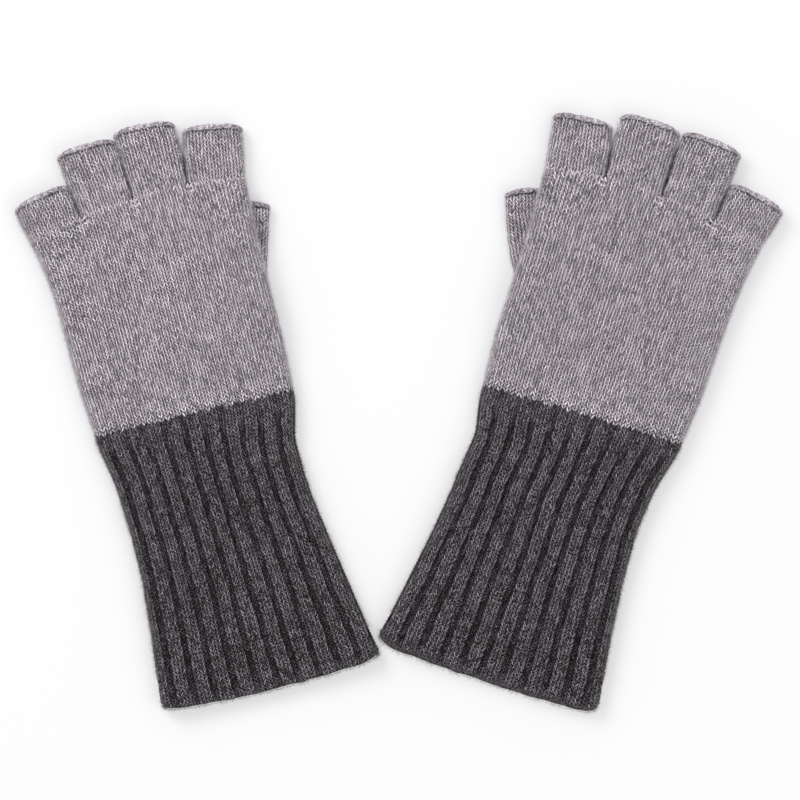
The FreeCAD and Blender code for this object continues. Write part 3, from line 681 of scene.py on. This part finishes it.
@dataclass
class Knit:
    """A knitted wall: an outside with every stitch and a plain inside, closed at both ends."""

    name: str
    lay: Lay
    surface: object  # the bare tube: a place for each wale and row
    columns: list  # grid columns to each wale
    rows: tuple  # the first and the last
    seed: int
    start: float = -math.inf  # where the first row starts on a straight line
    end: float = math.inf  # where a bound-off edge covers the last row
    first_rise: float = 1.0  # how steep the legs of the first row are beside the others
    ragged: float = 0.0  # how unevenly the first row ends, in rows, and how much painted shade darkens the first rows
    creases: tuple = ()  # folds that press against a neighbour, and up to which row: painted shade along them

    ROWS = 3  # grid rows to a course
    INSIDE_ROWS = 7
    INSIDE_OPEN = 0.55  # how much painted light the plain lining gets, the same all over
    UNEVEN = 0.22  # how much the height of the yarn varies from leg to leg
    SWELL = 0.00022  # how far the wall stands in and out of its tube
    LADDER = 0.0002  # how far it does so in each row at a fold

    def __post_init__(self):
        self.wales = len(self.columns)
        self.low, self.high = self.rows
        self.u = np.concatenate([wale + np.arange(n) / n for wale, n in enumerate(self.columns)])

    def frame_at(self, u, v):
        """Places and outward directions of the bare surface: the cross product of its two slopes."""
        along_u = self.surface(u + SLOPE_STEP, v) - self.surface(u - SLOPE_STEP, v)
        along_v = self.surface(u, v + SLOPE_STEP) - self.surface(u, v - SLOPE_STEP)
        return self.surface(u, v), unit(np.cross(along_u, along_v))

    def waves(self, u, v, cell_u, cell_v, layer):
        """Smooth random waves of this knit's own."""
        return wander(u, v, cell_u, cell_v, self.wales, self.seed + layer)

    def by_leg(self, u, v, layer):
        """Random numbers of this knit's own, one for each leg of a stitch."""
        return leg_random(u, v, self.wales, self.seed + layer)

    def stitches(self, u, row):
        """Height of the yarn and its share of painted light, both 0 to 1: low deep between stitches, where
        shade is painted.
        """
        height = knit_height(u, row) * (1.0 + self.UNEVEN * self.by_leg(u, row, 0))
        return height, np.clip(height, 0.0, 1.0)

    def outside(self):
        """The stitched grid: its points, the row coordinate, tone and share of painted light of each point.
        """
        knit = sizes()
        count = round((self.high - self.low) * self.ROWS)
        row = np.linspace(self.low, self.high, count + 1)[:, None]
        u, each_row = np.broadcast_arrays(self.u[None, :], row)
        v = row + knit.leg_rise * tent(u) * mix(self.first_rise, 1.0, smooth(row, 0.0, 3.0))
        v = v + self.ragged * self.by_leg(u, 0.0 * u, 4) * (1.0 - smooth(row, 0.0, 2.0))
        v = np.clip(v + 0.16 * self.waves(u, v, 0.5, 1.0, 5), self.start, self.end)
        drift = 0.12 * self.waves(u, v, 4.0, 7.0, 1) + 0.07 * self.waves(u, v, 1.0, 1.5, 6)
        points, normals = self.frame_at(u + drift, v)
        height, openness = self.stitches(u, each_row)
        at_fold = smooth(np.abs(np.cos(2.0 * np.pi * u / self.wales)), 0.985, 1.0)
        swell = self.SWELL * self.waves(u, v, 6.0, 9.0, 2) + self.LADDER * np.cos(2.0 * np.pi * v) * at_fold
        points = points + normals * (knit.relief * height + swell)[..., None]
        # painted shadow: a broken darker line under a bound-off edge
        edge_shadow = np.clip(0.45 + 0.35 * self.waves(u, v, 1.5, 3.0, 7), 0.0, 1.0)
        openness = openness * mix(edge_shadow, 1.0, smooth(self.end - v, 0.5, 1.6))
        # painted shade: the first rows at the seam are darker, the more so the more ragged they are
        openness = openness * mix(1.0 - 0.4 * self.ragged, 1.0, smooth(row, 0.0, 1.5))
        # painted shade along the folds that press against a neighbouring finger
        return points, row, self.by_leg(u, each_row, 3), openness * (1.0 - 0.95 * self.crease(u, v))

    def crease(self, u, v):
        """1 along the folds that press against a neighbour, where shade is painted, 0 past the end of each
        and elsewhere.
        """
        share = np.zeros(np.broadcast(u, v).shape)
        for fold, reach in self.creases:
            away = np.abs(np.mod(u - fold + 0.5 * self.wales, self.wales) - 0.5 * self.wales)
            pressed = (1.0 - smooth(away, 0.25, 1.2)) * (1.0 - smooth(v, 0.6 * reach, reach))
            share = np.maximum(share, pressed)
        return share

    def inside(self):
        """The plain lining grid, from the top down, a wall's thickness inside."""
        row = np.linspace(self.high, self.low, self.INSIDE_ROWS + 1)[:, None]
        u = np.broadcast_to(self.u[None, :], (len(row), len(self.u)))
        v = row + sizes().leg_rise * tent(u)
        points, normals = self.frame_at(u, np.clip(v, self.start, self.end))
        return points - normals * WALL, row

    def build(self, material):
        """Makes the mesh: outside and inside grids closed both ways round."""
        outside, row, tone, openness = self.outside()
        inside, inner_row = self.inside()
        closing = 2.0 * self.high - self.low + 1.0
        rows = np.concatenate([row[:, 0], 2.0 * self.high - inner_row[:, 0], [closing]])
        points = self.lay.place(np.concatenate([outside, inside]))
        lining = np.zeros(inside.shape[:2])
        tone = np.concatenate([tone, lining])
        openness = np.concatenate([openness, lining + self.INSIDE_OPEN])
        round_u = np.append(self.u, self.wales)
        name = f"{self.name}_knit"
        return grid_piece(name, self.lay, points, round_u, rows, material, tone=tone, openness=openness)


class RibKnit(Knit):
    """Knit in ribs of two knit wales and one purl wale."""

    def frame_at(self, u, v):
        """The tube's own places, sunk along their outward directions where the grooves lie."""
        points, normals = super().frame_at(u, v)
        depth = sizes().rib_relief * (1.0 - rib_crest(u, v))
        return points - normals * depth[..., None], normals

    def stitches(self, u, row):
        """A mix of knit stitches on the ribs and purl bumps in the grooves, where shade is painted by
        cutting their share of painted light.
        """
        crest = rib_crest(u, row)
        uneven = 1.0 + self.UNEVEN * self.by_leg(u, row, 0)
        height = mix(purl_height(u, row), knit_height(u, row), crest) * uneven
        # painted shade: the purl grooves get a smaller share of painted light
        return height, np.clip(height * mix(0.66, 1.0, crest), 0.0, 1.0)


def grid_piece(name, lay, points, u, rows, material, **values):
    """A mesh from a grid of points that closes both ways round.

    u and rows are its UV map, each with one more number than the grid, where it closes.
    """
    count_rows, count_columns = points.shape[:2]
    r, c = np.meshgrid(np.arange(count_rows), np.arange(count_columns), indexing="ij")
    around = ((0, 0), (0, 1), (1, 1), (1, 0))
    corners = [(r + up) % count_rows * count_columns + (c + right) % count_columns for up, right in around]
    uv = [across(u[c + right], rows[r + up]) for up, right in around]
    corners, uv = np.stack(corners, axis=-1), np.stack(uv, axis=-2)
    return new_piece(name, lay, points, corners, material, uv, **values)


def new_piece(name, lay, points, faces, material, uv=None, **values):
    """A smooth-shaded object from arrays of points, four-sided faces, UV corners and numbers per point.

    On the right glove, which is mirrored, the corners of faces with a UV map run the other way round.
    """
    if uv is not None and lay.mirror < 0.0:
        faces, uv = faces[..., ::-1], uv[..., ::-1, :]
    mesh = bpy.data.meshes.new(name)
    mesh.vertices.add(points.size // 3)
    mesh.vertices.foreach_set("co", points.astype(np.float32).ravel())
    mesh.loops.add(faces.size)
    mesh.loops.foreach_set("vertex_index", faces.astype(np.int32).ravel())
    mesh.polygons.add(faces.size // 4)
    mesh.polygons.foreach_set("loop_start", np.arange(0, faces.size, 4, dtype=np.int32))
    mesh.polygons.foreach_set("use_smooth", np.ones(faces.size // 4, bool))
    if uv is not None:
        layer = mesh.uv_layers.new(name="Stitches")
        layer.data.foreach_set("uv", uv.astype(np.float32).ravel())
    mesh.update(calc_edges=True)
    mesh.materials.append(material)
    for key, numbers in values.items():
        layer = mesh.attributes.new(key, "FLOAT", "POINT")
        layer.data.foreach_set("value", numbers.astype(np.float32).ravel())
    piece = bpy.data.objects.new(name, mesh)
    bpy.context.scene.collection.objects.link(piece)
    return piece


def rolled_edge(name, knit, v, radius, lift, material):
    """A bound-off or cast-on edge: a twisted roll along the section of a knit at v.

    A circle is carried round the section. Its radius swells and sinks along slanted strands that meet
    in a chain of Vs along the roll, one to a stitch.
    """
    around, twist = 12, 2.0
    seed = SEEDS["edge"]
    u = np.arange(knit.wales * FINE) / FINE

    def beside(step_u, step_v):
        """The knit's bare surface along the roll, a step aside."""
        return knit.frame_at(u + step_u, np.full_like(u, v + step_v))[0]

    along = beside(0.0, SLOPE_STEP) - beside(0.0, -SLOPE_STEP)
    tangent = beside(SLOPE_STEP, 0.0) - beside(-SLOPE_STEP, 0.0)
    outward = unit(np.cross(tangent, along))
    along = unit(along)
    uneven = 0.0002 * wander(u, 0.0 * u, 0.9, 1.0, knit.wales, seed + 4)
    path = beside(0.0, 0.0) + outward * lift + along * uneven[:, None]
    turn = (np.arange(around) / around)[:, None]
    phase = u[None, :] + twist * np.abs(0.5 - turn)
    strand = 0.76 + 0.24 * np.abs(np.sin(np.pi * phase)) ** 0.7
    loose = 1.0 + 0.16 * wander(u, 0.0 * u, 1.2, 1.0, knit.wales, seed + 2)
    angle = 2.0 * np.pi * turn
    reach = (radius * strand * loose[None, :])[..., None]
    ring = 0.8 * np.cos(angle)[..., None] * outward + np.sin(angle)[..., None] * along
    points = path[None] + reach * ring
    tone = leg_random(phase, 0.0 * strand, knit.wales, seed)
    # painted shade in the gaps between the slanted strands of the roll
    openness = np.clip((strand[::-1] - 0.55) / 0.45, 0.0, 1.0)
    points, rows = knit.lay.place(points[::-1]), twist * np.arange(around + 1) / around
    round_u = np.append(u, knit.wales)
    return grid_piece(name, knit.lay, points, round_u, rows, material, tone=tone, openness=openness)


@dataclass
class Stray:
    """The stray fibres of one knit."""

    count: int
    seed: int
    at_folds: float = 0.65  # share of them that start near the folded sides
    crowding: float = 1.0  # over 1, they gather towards the first row


STRAYS = {
    "hand": Stray(24000, 51),
    "finger": Stray(3600, 52),
    "thumb": Stray(3000, 53),
    "cuff": Stray(22000, 54),
    "welt": Stray(5000, 55, 0.15, 3.0),
}


def fuzz(knit, stray, material):
    """Stray fibres: thin bent ribbons that start on the knit at random places.

    A fibre leaves its root in a direction between the surface's outward direction and a random one
    along it, and a random bend grows with the square of the way.
    """
    size = sizes()
    count = stray.count
    random = np.random.default_rng(stray.seed)
    fold = random.choice([0.0, 0.5], count) * knit.wales + random.normal(0.0, 1.2, count)
    u = np.where(random.uniform(size=count) < stray.at_folds, fold, random.uniform(0.0, knit.wales, count))
    top = knit.high + 1.0 if knit.end < math.inf else knit.high
    v = mix(knit.low + size.leg_rise, top, random.uniform(size=count) ** stray.crowding)
    root, outward = knit.frame_at(u, v)
    root = root + outward * size.relief * STRAY_ROOT
    loose = unit(np.cross(outward, random.normal(size=(count, 3))))
    lean = random.uniform(0.3, 1.4, (count, 1))
    direction = unit(outward * lean + loose)
    bend = unit(random.normal(size=(count, 3))) * STRAY_BEND
    length = size.fuzz_length * random.uniform(0.3, 1.0, (count, 1))
    steps = np.linspace(0.0, 1.0, 4)
    spine = np.stack([root + length * (direction * s + bend * s * s) for s in steps], axis=1)
    spine[..., 2] = np.maximum(spine[..., 2], STRAY_CLEAR)
    breadth = unit(np.cross(direction, random.normal(size=(count, 3))))[:, None, :]
    taper = (1.0 - 0.8 * steps)[None, :, None]
    offset = 0.5 * size.fuzz_width * breadth * taper
    points = knit.lay.place(np.stack([spine - offset, spine + offset], axis=2))
    edge_points = 2 * len(steps)
    start = (np.arange(count) * edge_points)[:, None, None] + (np.arange(3) * 2)[None, :, None]
    faces = start + np.array([0, 1, 3, 2])[None, None, :]
    # painted shade for the stray fibres in a crease
    buried = np.repeat(knit.crease(u, v), edge_points)
    return new_piece(f"{knit.name}_fuzz", knit.lay, points, faces, material, buried=buried)


def strands(name, lay, spines, radius, material):
    """Short bent yarns: a ring of six points runs along each spine and shrinks to a point at both ends."""
    count, steps, around = len(spines), spines.shape[1], 6
    ahead = unit(np.gradient(spines, axis=1))
    aside = unit(np.cross(ahead, [0.0, 0.0, 1.0]))
    above = np.cross(aside, ahead)
    turn = 2.0 * np.pi * np.arange(around) / around
    place = np.linspace(-1.0, 1.0, steps)
    reach = radius * (1.0 - place**8)[None, :, None, None]
    ring = np.cos(turn)[:, None] * aside[:, :, None] + np.sin(turn)[:, None] * above[:, :, None]
    points = lay.place(spines[:, :, None] + reach * ring)
    s, m, a = np.meshgrid(np.arange(count), np.arange(steps - 1), np.arange(around), indexing="ij")
    corners = ((0, 0), (1, 0), (1, 1), (0, 1))
    faces = [(s * steps + m + up) * around + (a + right) % around for up, right in corners]
    uv = [across(0.3 * (a + right) + s, 0.2 * (m + up)) for up, right in corners]
    faces, uv = np.stack(faces, axis=-1), np.stack(uv, axis=-2)
    tone = np.broadcast_to(-0.2, points.shape[:3])
    # painted light and shade: each yarn is lighter on top and darker underneath
    openness = np.broadcast_to(0.65 + 0.3 * np.sin(turn), points.shape[:3])
    return new_piece(name, lay, points, faces, material, uv, tone=tone, openness=openness)


# ------------------------ materials


class Term:
    """An output socket that takes part in arithmetic: each operation adds a Math node."""

    def __init__(self, paint, socket):
        self.paint = paint
        self.socket = socket

    def math(self, operation, *terms):
        """The result of one Math node on this and other terms."""
        inputs = dict(enumerate((self, *terms)))
        return self.paint.node("ShaderNodeMath", {"operation": operation}, inputs)

    def __add__(self, other):
        return self.math("ADD", other)

    __radd__ = __add__

    def __mul__(self, other):
        return self.math("MULTIPLY", other)

    __rmul__ = __mul__

    def __sub__(self, other):
        return self.math("SUBTRACT", other)

    def __rsub__(self, other):
        return self.math("MULTIPLY", -1.0).math("ADD", other)

    def clip(self):
        """This, kept between 0 and 1."""
        return self.math("MAXIMUM", 0.0).math("MINIMUM", 1.0)


class Paint:
    """The nodes of one material."""

    def __init__(self, name):
        self.material = bpy.data.materials.new(name)
        self.material.use_nodes = True
        self.tree = self.material.node_tree
        self.tree.nodes.clear()

    def node(self, kind, settings=None, inputs=None, output=0):
        """Adds a node: settings first, then the values or links of its inputs; gives one output, if any."""
        node = self.tree.nodes.new(kind)
        for name, value in (settings or {}).items():
            setattr(node, name, value)
        for name, value in (inputs or {}).items():
            if isinstance(value, Term):
                self.tree.links.new(value.socket, node.inputs[name])
            else:
                node.inputs[name].default_value = value
        return Term(self, node.outputs[output]) if node.outputs else None

    def value(self, attribute):
        """A number stored on the mesh."""
        return self.node("ShaderNodeAttribute", {"attribute_name": attribute}, output="Fac")

    def noise(self, vector, scale, detail=2.0):
        """Noise around 0.5."""
        inputs = {"Vector": vector, "Scale": scale, "Detail": detail}
        return self.node("ShaderNodeTexNoise", {}, inputs, "Fac")

    def stretch(self, vector, x, y):
        """A UV map scaled along both axes."""
        settings = {"operation": "MULTIPLY"}
        return self.node("ShaderNodeVectorMath", settings, {0: vector, 1: (x, y, 1.0)}, "Vector")

    def mixed(self, share, first, second):
        """Two colours mixed by a share."""
        settings = {"data_type": "RGBA", "clamp_factor": True}
        return self.node("ShaderNodeMix", settings, {0: share, 6: first, 7: second}, 2)


def colour(values, share=1.0):
    """A share of a setting's colour as the four numbers of a colour socket."""
    return (*(share * part for part in values), 1.0)


@dataclass
class Melange:
    """How a yarn of two colours of fibre is mixed: its palest share and how much each grain varies it."""

    level: float
    fibre: float = 1.3  # fine lines along each leg of a stitch
    fleck: float = 3.4  # single fibres
    fleck_scale: float = 1900.0
    streak: float = 0.7  # from row to row
    uneven: float = 0.28  # from leg to leg
    gap_gain: float = 2.1  # how steeply painted shade darkens the yarn into the gaps
    gap_start: float = 0.68  # and how much is then taken off
    sheen: float = 0.15


FIBRE_GRAIN = (2.2, 7.0)  # grains to a wale and to a row
STREAK_GRAIN = (0.16, 0.9)
CLOUD_SCALE = 45.0  # grains to a metre
CLOUD = 0.3  # how much the tone drifts from place to place
GAP_SHADE = 0.25  # how dark the painted shade in the gaps between stitches is beside the dark fibre
CREASE_SHADE = 0.06  # how dark the painted shade on stray fibres in a crease is beside the others


def heather(name, light, dark, mixed):
    """Melange wool: fibres of two colours spun together, in fine lines along each leg of a stitch, with
    shade painted into the gaps between them.
    """
    paint = Paint(name)
    place = paint.node("ShaderNodeUVMap", {"uv_map": "Stitches"}, output="UV")
    room = paint.node("ShaderNodeTexCoord", output="Object")
    fibre = paint.noise(paint.stretch(place, *FIBRE_GRAIN), 1.0, 3.0)
    fleck = paint.noise(room, mixed.fleck_scale, 2.0)
    streak = paint.noise(paint.stretch(place, *STREAK_GRAIN), 1.0, 2.0)
    cloud = paint.noise(room, CLOUD_SCALE, 2.0)
    share = mixed.level + (fibre - 0.5) * mixed.fibre + (fleck - 0.5) * mixed.fleck
    share = share + (streak - 0.5) * mixed.streak + (cloud - 0.5) * CLOUD
    share = (share + paint.value("tone") * mixed.uneven).clip()
    yarn = paint.mixed(share, colour(dark), colour(light))
    openness = paint.value("openness")
    # painted shade: the yarn darkens towards the gap colour where the stored share of painted light is low
    shade = (openness * mixed.gap_gain - mixed.gap_start).clip()
    shaded = paint.mixed(shade, colour(dark, GAP_SHADE), yarn)
    grain = fibre * 0.7 + fleck * 0.3
    bump = paint.node("ShaderNodeBump", {}, {"Strength": 0.5, "Distance": 0.00012, "Height": grain})
    surface = paint.node(
        "ShaderNodeBsdfPrincipled",
        {},
        {
            "Base Color": shaded,
            "Roughness": 0.9,
            "Specular IOR Level": 0.08,
            "Sheen Weight": mixed.sheen,
            "Sheen Roughness": 0.6,
            "Normal": bump,
        },
    )
    paint.node("ShaderNodeOutputMaterial", {}, {"Surface": surface})
    return paint.material


def light_yarn():
    """The pale grey melange of hand, fingers and thumb."""
    yarns = bpy.context.scene.yarn_colours
    return heather("light_yarn", yarns.light_fibre, yarns.dark_fibre, Melange(0.71))


def shaded_bound_yarn():
    """The same yarn where it is bound off, drawn tighter, as a darker copy: painted shade that keeps the
    roll's lit top from standing out paler than the knit.
    """
    yarns = bpy.context.scene.yarn_colours
    mixed = Melange(0.30, fibre=1.0, fleck=2.2, uneven=0.24)
    return heather("shaded_bound_yarn", yarns.light_fibre, yarns.dark_fibre, mixed)


def charcoal_yarn():
    """The dark grey melange of the cuffs."""
    yarns = bpy.context.scene.yarn_colours
    mixed = Melange(
        0.37, fibre=0.9, fleck=3.6, fleck_scale=2000.0, streak=0.3,
        uneven=0.22, gap_gain=1.7, gap_start=0.42, sheen=0.06,
    )
    return heather("charcoal_yarn", yarns.charcoal_light, yarns.charcoal_dark, mixed)


def fibre_material(name, tint):
    """Stray fibres: one colour that wanders a little from place to place, with painted shade in a crease.
    """
    paint = Paint(name)
    room = paint.node("ShaderNodeTexCoord", output="Object")
    share = paint.noise(room, 400.0)
    shade = paint.mixed(share, colour(tint, 0.6), colour(tint, 1.3))
    shade = paint.mixed(paint.value("buried"), shade, colour(tint, CREASE_SHADE))
    surface = paint.node("ShaderNodeBsdfPrincipled", {}, {"Base Color": shade, "Roughness": 0.8})
    paint.node("ShaderNodeOutputMaterial", {}, {"Surface": surface})
    return paint.material


def light_fuzz():
    """Stray fibres of the pale yarn."""
    return fibre_material("light_fuzz", (0.55, 0.51, 0.55))


def charcoal_fuzz():
    """Stray fibres of the dark yarn."""
    return fibre_material("charcoal_fuzz", (0.16, 0.15, 0.16))


def made_once(maker):
    """The material of that maker, made at its first use."""
    return bpy.data.materials.get(maker.__name__) or maker()


# ------------------------ pieces


@dataclass
class Yarn:
    """What a knit and its stray fibres are made of."""

    slot: str
    strand: object
    stray: object


LIGHT = Yarn("light_heather_knit", light_yarn, light_fuzz)
CHARCOAL = Yarn("charcoal_heather_knit", charcoal_yarn, charcoal_fuzz)


def finish_piece(piece, slot, nodes, ride=None, bend=None):
    """Ties a piece to the solids: hides those it replaces, and attaches it to the body it rides, or, where
    it bends, bakes its place into its mesh. Its slot is not used.
    """
    if bend:
        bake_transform(piece)
    else:
        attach(piece, ride)
    if nodes:
        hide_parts(*nodes)


def knit_up(knit, yarn, kind, nodes, **tie):
    """Makes a knit and its stray fibres, and ties both to the same body, or bakes both into place where
    they bend.
    """
    finish_piece(knit.build(made_once(yarn.strand)), yarn.slot, nodes, **tie)
    finish_piece(fuzz(knit, STRAYS[kind], made_once(yarn.stray)), yarn.slot, [], **tie)


def hand_knit(glove):
    """The knit of a hand."""
    knit = sizes()
    half = knit.hand_wales // 2
    columns = [FINE] * half + [UNDER] * (knit.hand_wales - half)
    rows = (0, knit.hand_courses - 1)
    name = f"{glove.side}_hand"
    return Knit(name, glove.lay, glove.hand, columns, rows, SEEDS["hand"], ragged=0.45, first_rise=0.75)


def cuff_knit(glove, part, rows):
    """The rib knit of a cuff, or of the welt at its hem."""
    columns = ([FINE] * (RIB_WALES - 1) + [GROOVE]) * sizes().ribs
    return RibKnit(f"{glove.side}_{part}", glove.lay, glove.cuff, columns, rows, SEEDS["cuff"], start=0.0)


def tube_knit(tube):
    """The knit of a finger or a thumb."""
    rows = (tube.first_row, tube.courses - 1)
    end = tube.courses * (1.0 - sizes().edge_radius / tube.whole)
    columns = [FINE] * tube.wales
    return Knit(
        tube.body, tube.lay, tube.surface, columns, rows, tube.seed,
        start=tube.start, end=end, creases=tube.creases,
    )


def bind_off(tube, knit):
    """Binds off a finger or a thumb with a rolled edge."""
    name = f"{tube.body}_bind_off"
    edge = rolled_edge(name, knit, knit.end, sizes().edge_radius, tube.edge_lift, made_once(shaded_bound_yarn))
    finish_piece(edge, "light_heather_bind_off", [f"{tube.body}_edge"], ride=tube.body)


def crotch_spines(knit):
    """Spines of the yarns that cross the foot of each gap between two fingers, on top and underneath.

    Each runs over the hand's own surface and hangs by a square: its middle lies lowest.
    """
    last = sizes().hand_courses
    middles = SHARED_WALES * np.arange(1, 4)
    middles = np.concatenate([middles, knit.wales - middles])[:, None, None]
    level = np.array([0.5, 1.8])[None, :, None]
    half = np.array([0.8, 1.1])[None, :, None]
    place = np.linspace(-1.0, 1.0, 9)[None, None, :]
    skew = leg_random(middles + level, level, knit.wales, SEEDS["crotch"])
    u = middles + half * place + 0.3 * skew
    v = last - level - 0.7 * (1.0 - place**2) + 0.6 * skew * place
    points, outward = knit.frame_at(u, np.minimum(v, last - 0.1))
    points = points + outward * (sizes().relief * (0.6 - 0.9 * place[..., None] ** 4))
    return points.reshape(-1, 9, 3)


class GLOVES_OT_hands(bpy.types.Operator):
    """Knit both hands"""

    bl_idname = "gloves.hands"
    bl_label = "Hands"

    def execute(self, context):
        for side in SIDES:
            knit_up(hand_knit(Glove(side)), LIGHT, "hand", [f"{side}_hand"], ride="hands")
        return {"FINISHED"}


class GLOVES_OT_fingers(bpy.types.Operator):
    """Knit the finger tubes and their bound-off edges"""

    bl_idname = "gloves.fingers"
    bl_label = "Fingers"

    def execute(self, context):
        for side in SIDES:
            for finger in Glove(side).fingers:
                knit = tube_knit(finger)
                bend = ("hands", finger.body, *finger.lay.hinge(FINGER_HINGE))
                knit_up(knit, LIGHT, "finger", [finger.solid], bend=bend)
                bind_off(finger, knit)
        return {"FINISHED"}


class GLOVES_OT_crotches(bpy.types.Operator):
    """Draw the yarns that close the foot of each gap between two fingers"""

    bl_idname = "gloves.crotches"
    bl_label = "Crotch stitches"

    def execute(self, context):
        for side in SIDES:
            glove = Glove(side)
            spines = crotch_spines(hand_knit(glove))
            name = f"{side}_crotch_stitches"
            piece = strands(name, glove.lay, spines, CROTCH_YARN, made_once(light_yarn))
            finish_piece(piece, LIGHT.slot, [], ride="hands")
        return {"FINISHED"}


class GLOVES_OT_thumbs(bpy.types.Operator):
    """Knit the thumbs and their bound-off edges"""

    bl_idname = "gloves.thumbs"
    bl_label = "Thumbs"

    def execute(self, context):
        for side in SIDES:
            thumb = Glove(side).thumb
            knit = tube_knit(thumb)
            knit_up(knit, LIGHT, "thumb", [thumb.solid], ride=thumb.body)
            bind_off(thumb, knit)
        return {"FINISHED"}


class GLOVES_OT_cuffs(bpy.types.Operator):
    """Knit the ribbed cuffs and the welts at their hems"""

    bl_idname = "gloves.cuffs"
    bl_label = "Cuffs"

    def execute(self, context):
        size = sizes()
        for side in SIDES:
            glove = Glove(side)
            body = f"{side}_cuff"
            bend = ("hands", body, *glove.lay.hinge(-CUFF_HINGE))
            cuff = cuff_knit(glove, "cuff", (size.welt_courses, size.cuff_courses + 1))
            knit_up(cuff, CHARCOAL, "cuff", [body], bend=bend)
            welt = cuff_knit(glove, "welt", (-2, size.welt_courses))
            knit_up(welt, CHARCOAL, "welt", [f"{side}_cuff_welt"], ride=body)
            radius = CAST_ON_SHARE * size.edge_radius
            name = f"{side}_cast_on"
            roll = rolled_edge(name, welt, 0.5, radius, CAST_ON_LIFT, made_once(charcoal_yarn))
            finish_piece(roll, CHARCOAL.slot, [], ride=body)
        return {"FINISHED"}


# ------------------------ stage


WHITE = (1.0, 1.0, 1.0, 1.0)
FLOOR_REACH = 3.0
ROOM_LIGHT = 0.66
LAMPS = (  # name, place, size and power
    ("key", (-0.9, 0.9, 1.3), 0.9, 17.5),
    ("fill", (0.9, -0.5, 1.4), 1.2, 8.0),
)


def floor_material():
    """A pale floor that the camera sees as white, with the gloves' shadow on it."""
    stage = bpy.context.scene.glove_stage
    paint = Paint("floor")
    rays = paint.node("ShaderNodeLightPath", output="Is Camera Ray")
    seen = rays.math("MAXIMUM", Term(paint, rays.socket.node.outputs["Is Glossy Ray"]))
    seen = seen.math("MAXIMUM", Term(paint, rays.socket.node.outputs["Is Transmission Ray"]))
    paper = paint.node("ShaderNodeBsdfDiffuse", {}, {"Color": colour(stage.floor_colour)})
    glow = paint.node("ShaderNodeEmission", {}, {"Color": WHITE, "Strength": 1.0})
    both = paint.node("ShaderNodeMixShader", {}, {0: stage.floor_glow * seen, 1: paper, 2: glow})
    paint.node("ShaderNodeOutputMaterial", {}, {"Surface": both})
    return paint.material


def add_lamp(name, place, size, power, target):
    """A square soft light at a place, aimed at a target."""
    data = bpy.data.lights.new(name, "AREA")
    data.shape = "SQUARE"
    data.size = size
    data.energy = power
    lamp = bpy.data.objects.new(name, data)
    lamp.location = place
    direction = target - lamp.location
    lamp.rotation_euler = direction.to_track_quat("-Z", "Y").to_euler()
    bpy.context.scene.collection.objects.link(lamp)


class GLOVES_OT_stage(bpy.types.Operator):
    """Lay the floor, light it and set the camera over the pair"""

    bl_idname = "gloves.stage"
    bl_label = "Stage"

    def execute(self, context):
        scene = context.scene
        stage = scene.glove_stage
        x, y = FLOOR_REACH * np.array([[-1.0, 1.0, 1.0, -1.0], [-1.0, -1.0, 1.0, 1.0]])
        corners = across(x, y, 0.0)
        floor = new_piece("floor", None, corners, np.array([[0, 1, 2, 3]]), floor_material())
        world = bpy.data.worlds.new("studio")
        world.use_nodes = True
        background = world.node_tree.nodes["Background"]
        background.inputs["Color"].default_value = WHITE
        background.inputs["Strength"].default_value = ROOM_LIGHT
        scene.world = world
        for lamp in LAMPS:
            add_lamp(*lamp, 0.5 * (CAD_BOX[0] + CAD_BOX[1]))
        camera = bpy.data.cameras.new("camera")
        camera.sensor_width = 36.0
        level = 0.5 * TUBE_HEIGHT
        camera.lens = camera.sensor_width * (stage.camera_height - level) / stage.view_width
        camera.clip_end = 20.0
        eye = bpy.data.objects.new("camera", camera)
        eye.location = (stage.view_x, stage.view_y, stage.camera_height)
        scene.collection.objects.link(eye)
        scene.camera = eye
        scene.view_settings.view_transform = "Standard"
        return {"FINISHED"}


# ------------------------ panel and registration


OPERATORS = (
    GLOVES_OT_hands,
    GLOVES_OT_fingers,
    GLOVES_OT_crotches,
    GLOVES_OT_thumbs,
    GLOVES_OT_cuffs,
    GLOVES_OT_stage,
)
GROUPS = {"knit_sizes": KnitSizes, "yarn_colours": YarnColours, "glove_stage": StageSettings}


class GLOVES_PT_panel(bpy.types.Panel):
    """Lists the pieces of the gloves"""

    bl_idname = "GLOVES_PT_panel"
    bl_label = "Fingerless gloves"
    bl_space_type = "VIEW_3D"
    bl_region_type = "UI"
    bl_category = "Gloves"

    def draw(self, context):
        for group in GROUPS:
            settings = getattr(context.scene, group)
            for name in settings.__annotations__:
                self.layout.prop(settings, name)
        for operator in OPERATORS:
            self.layout.operator(operator.bl_idname)


def register():
    """Registers the settings, the operators and the panel."""
    for name, group in GROUPS.items():
        bpy.utils.register_class(group)
        setattr(bpy.types.Scene, name, bpy.props.PointerProperty(type=group))
    for item in (*OPERATORS, GLOVES_PT_panel):
        bpy.utils.register_class(item)


def unregister():
    """Takes back what register did."""
    for item in (GLOVES_PT_panel, *reversed(OPERATORS)):
        bpy.utils.unregister_class(item)
    for name, group in reversed(GROUPS.items()):
        delattr(bpy.types.Scene, name)
        bpy.utils.unregister_class(group)


def main():
    """Makes every piece."""
    register()
    bpy.ops.gloves.hands()
    bpy.ops.gloves.fingers()
    bpy.ops.gloves.crotches()
    bpy.ops.gloves.thumbs()
    bpy.ops.gloves.cuffs()
    bpy.ops.gloves.stage()


if __name__ == "__main__":
    main()
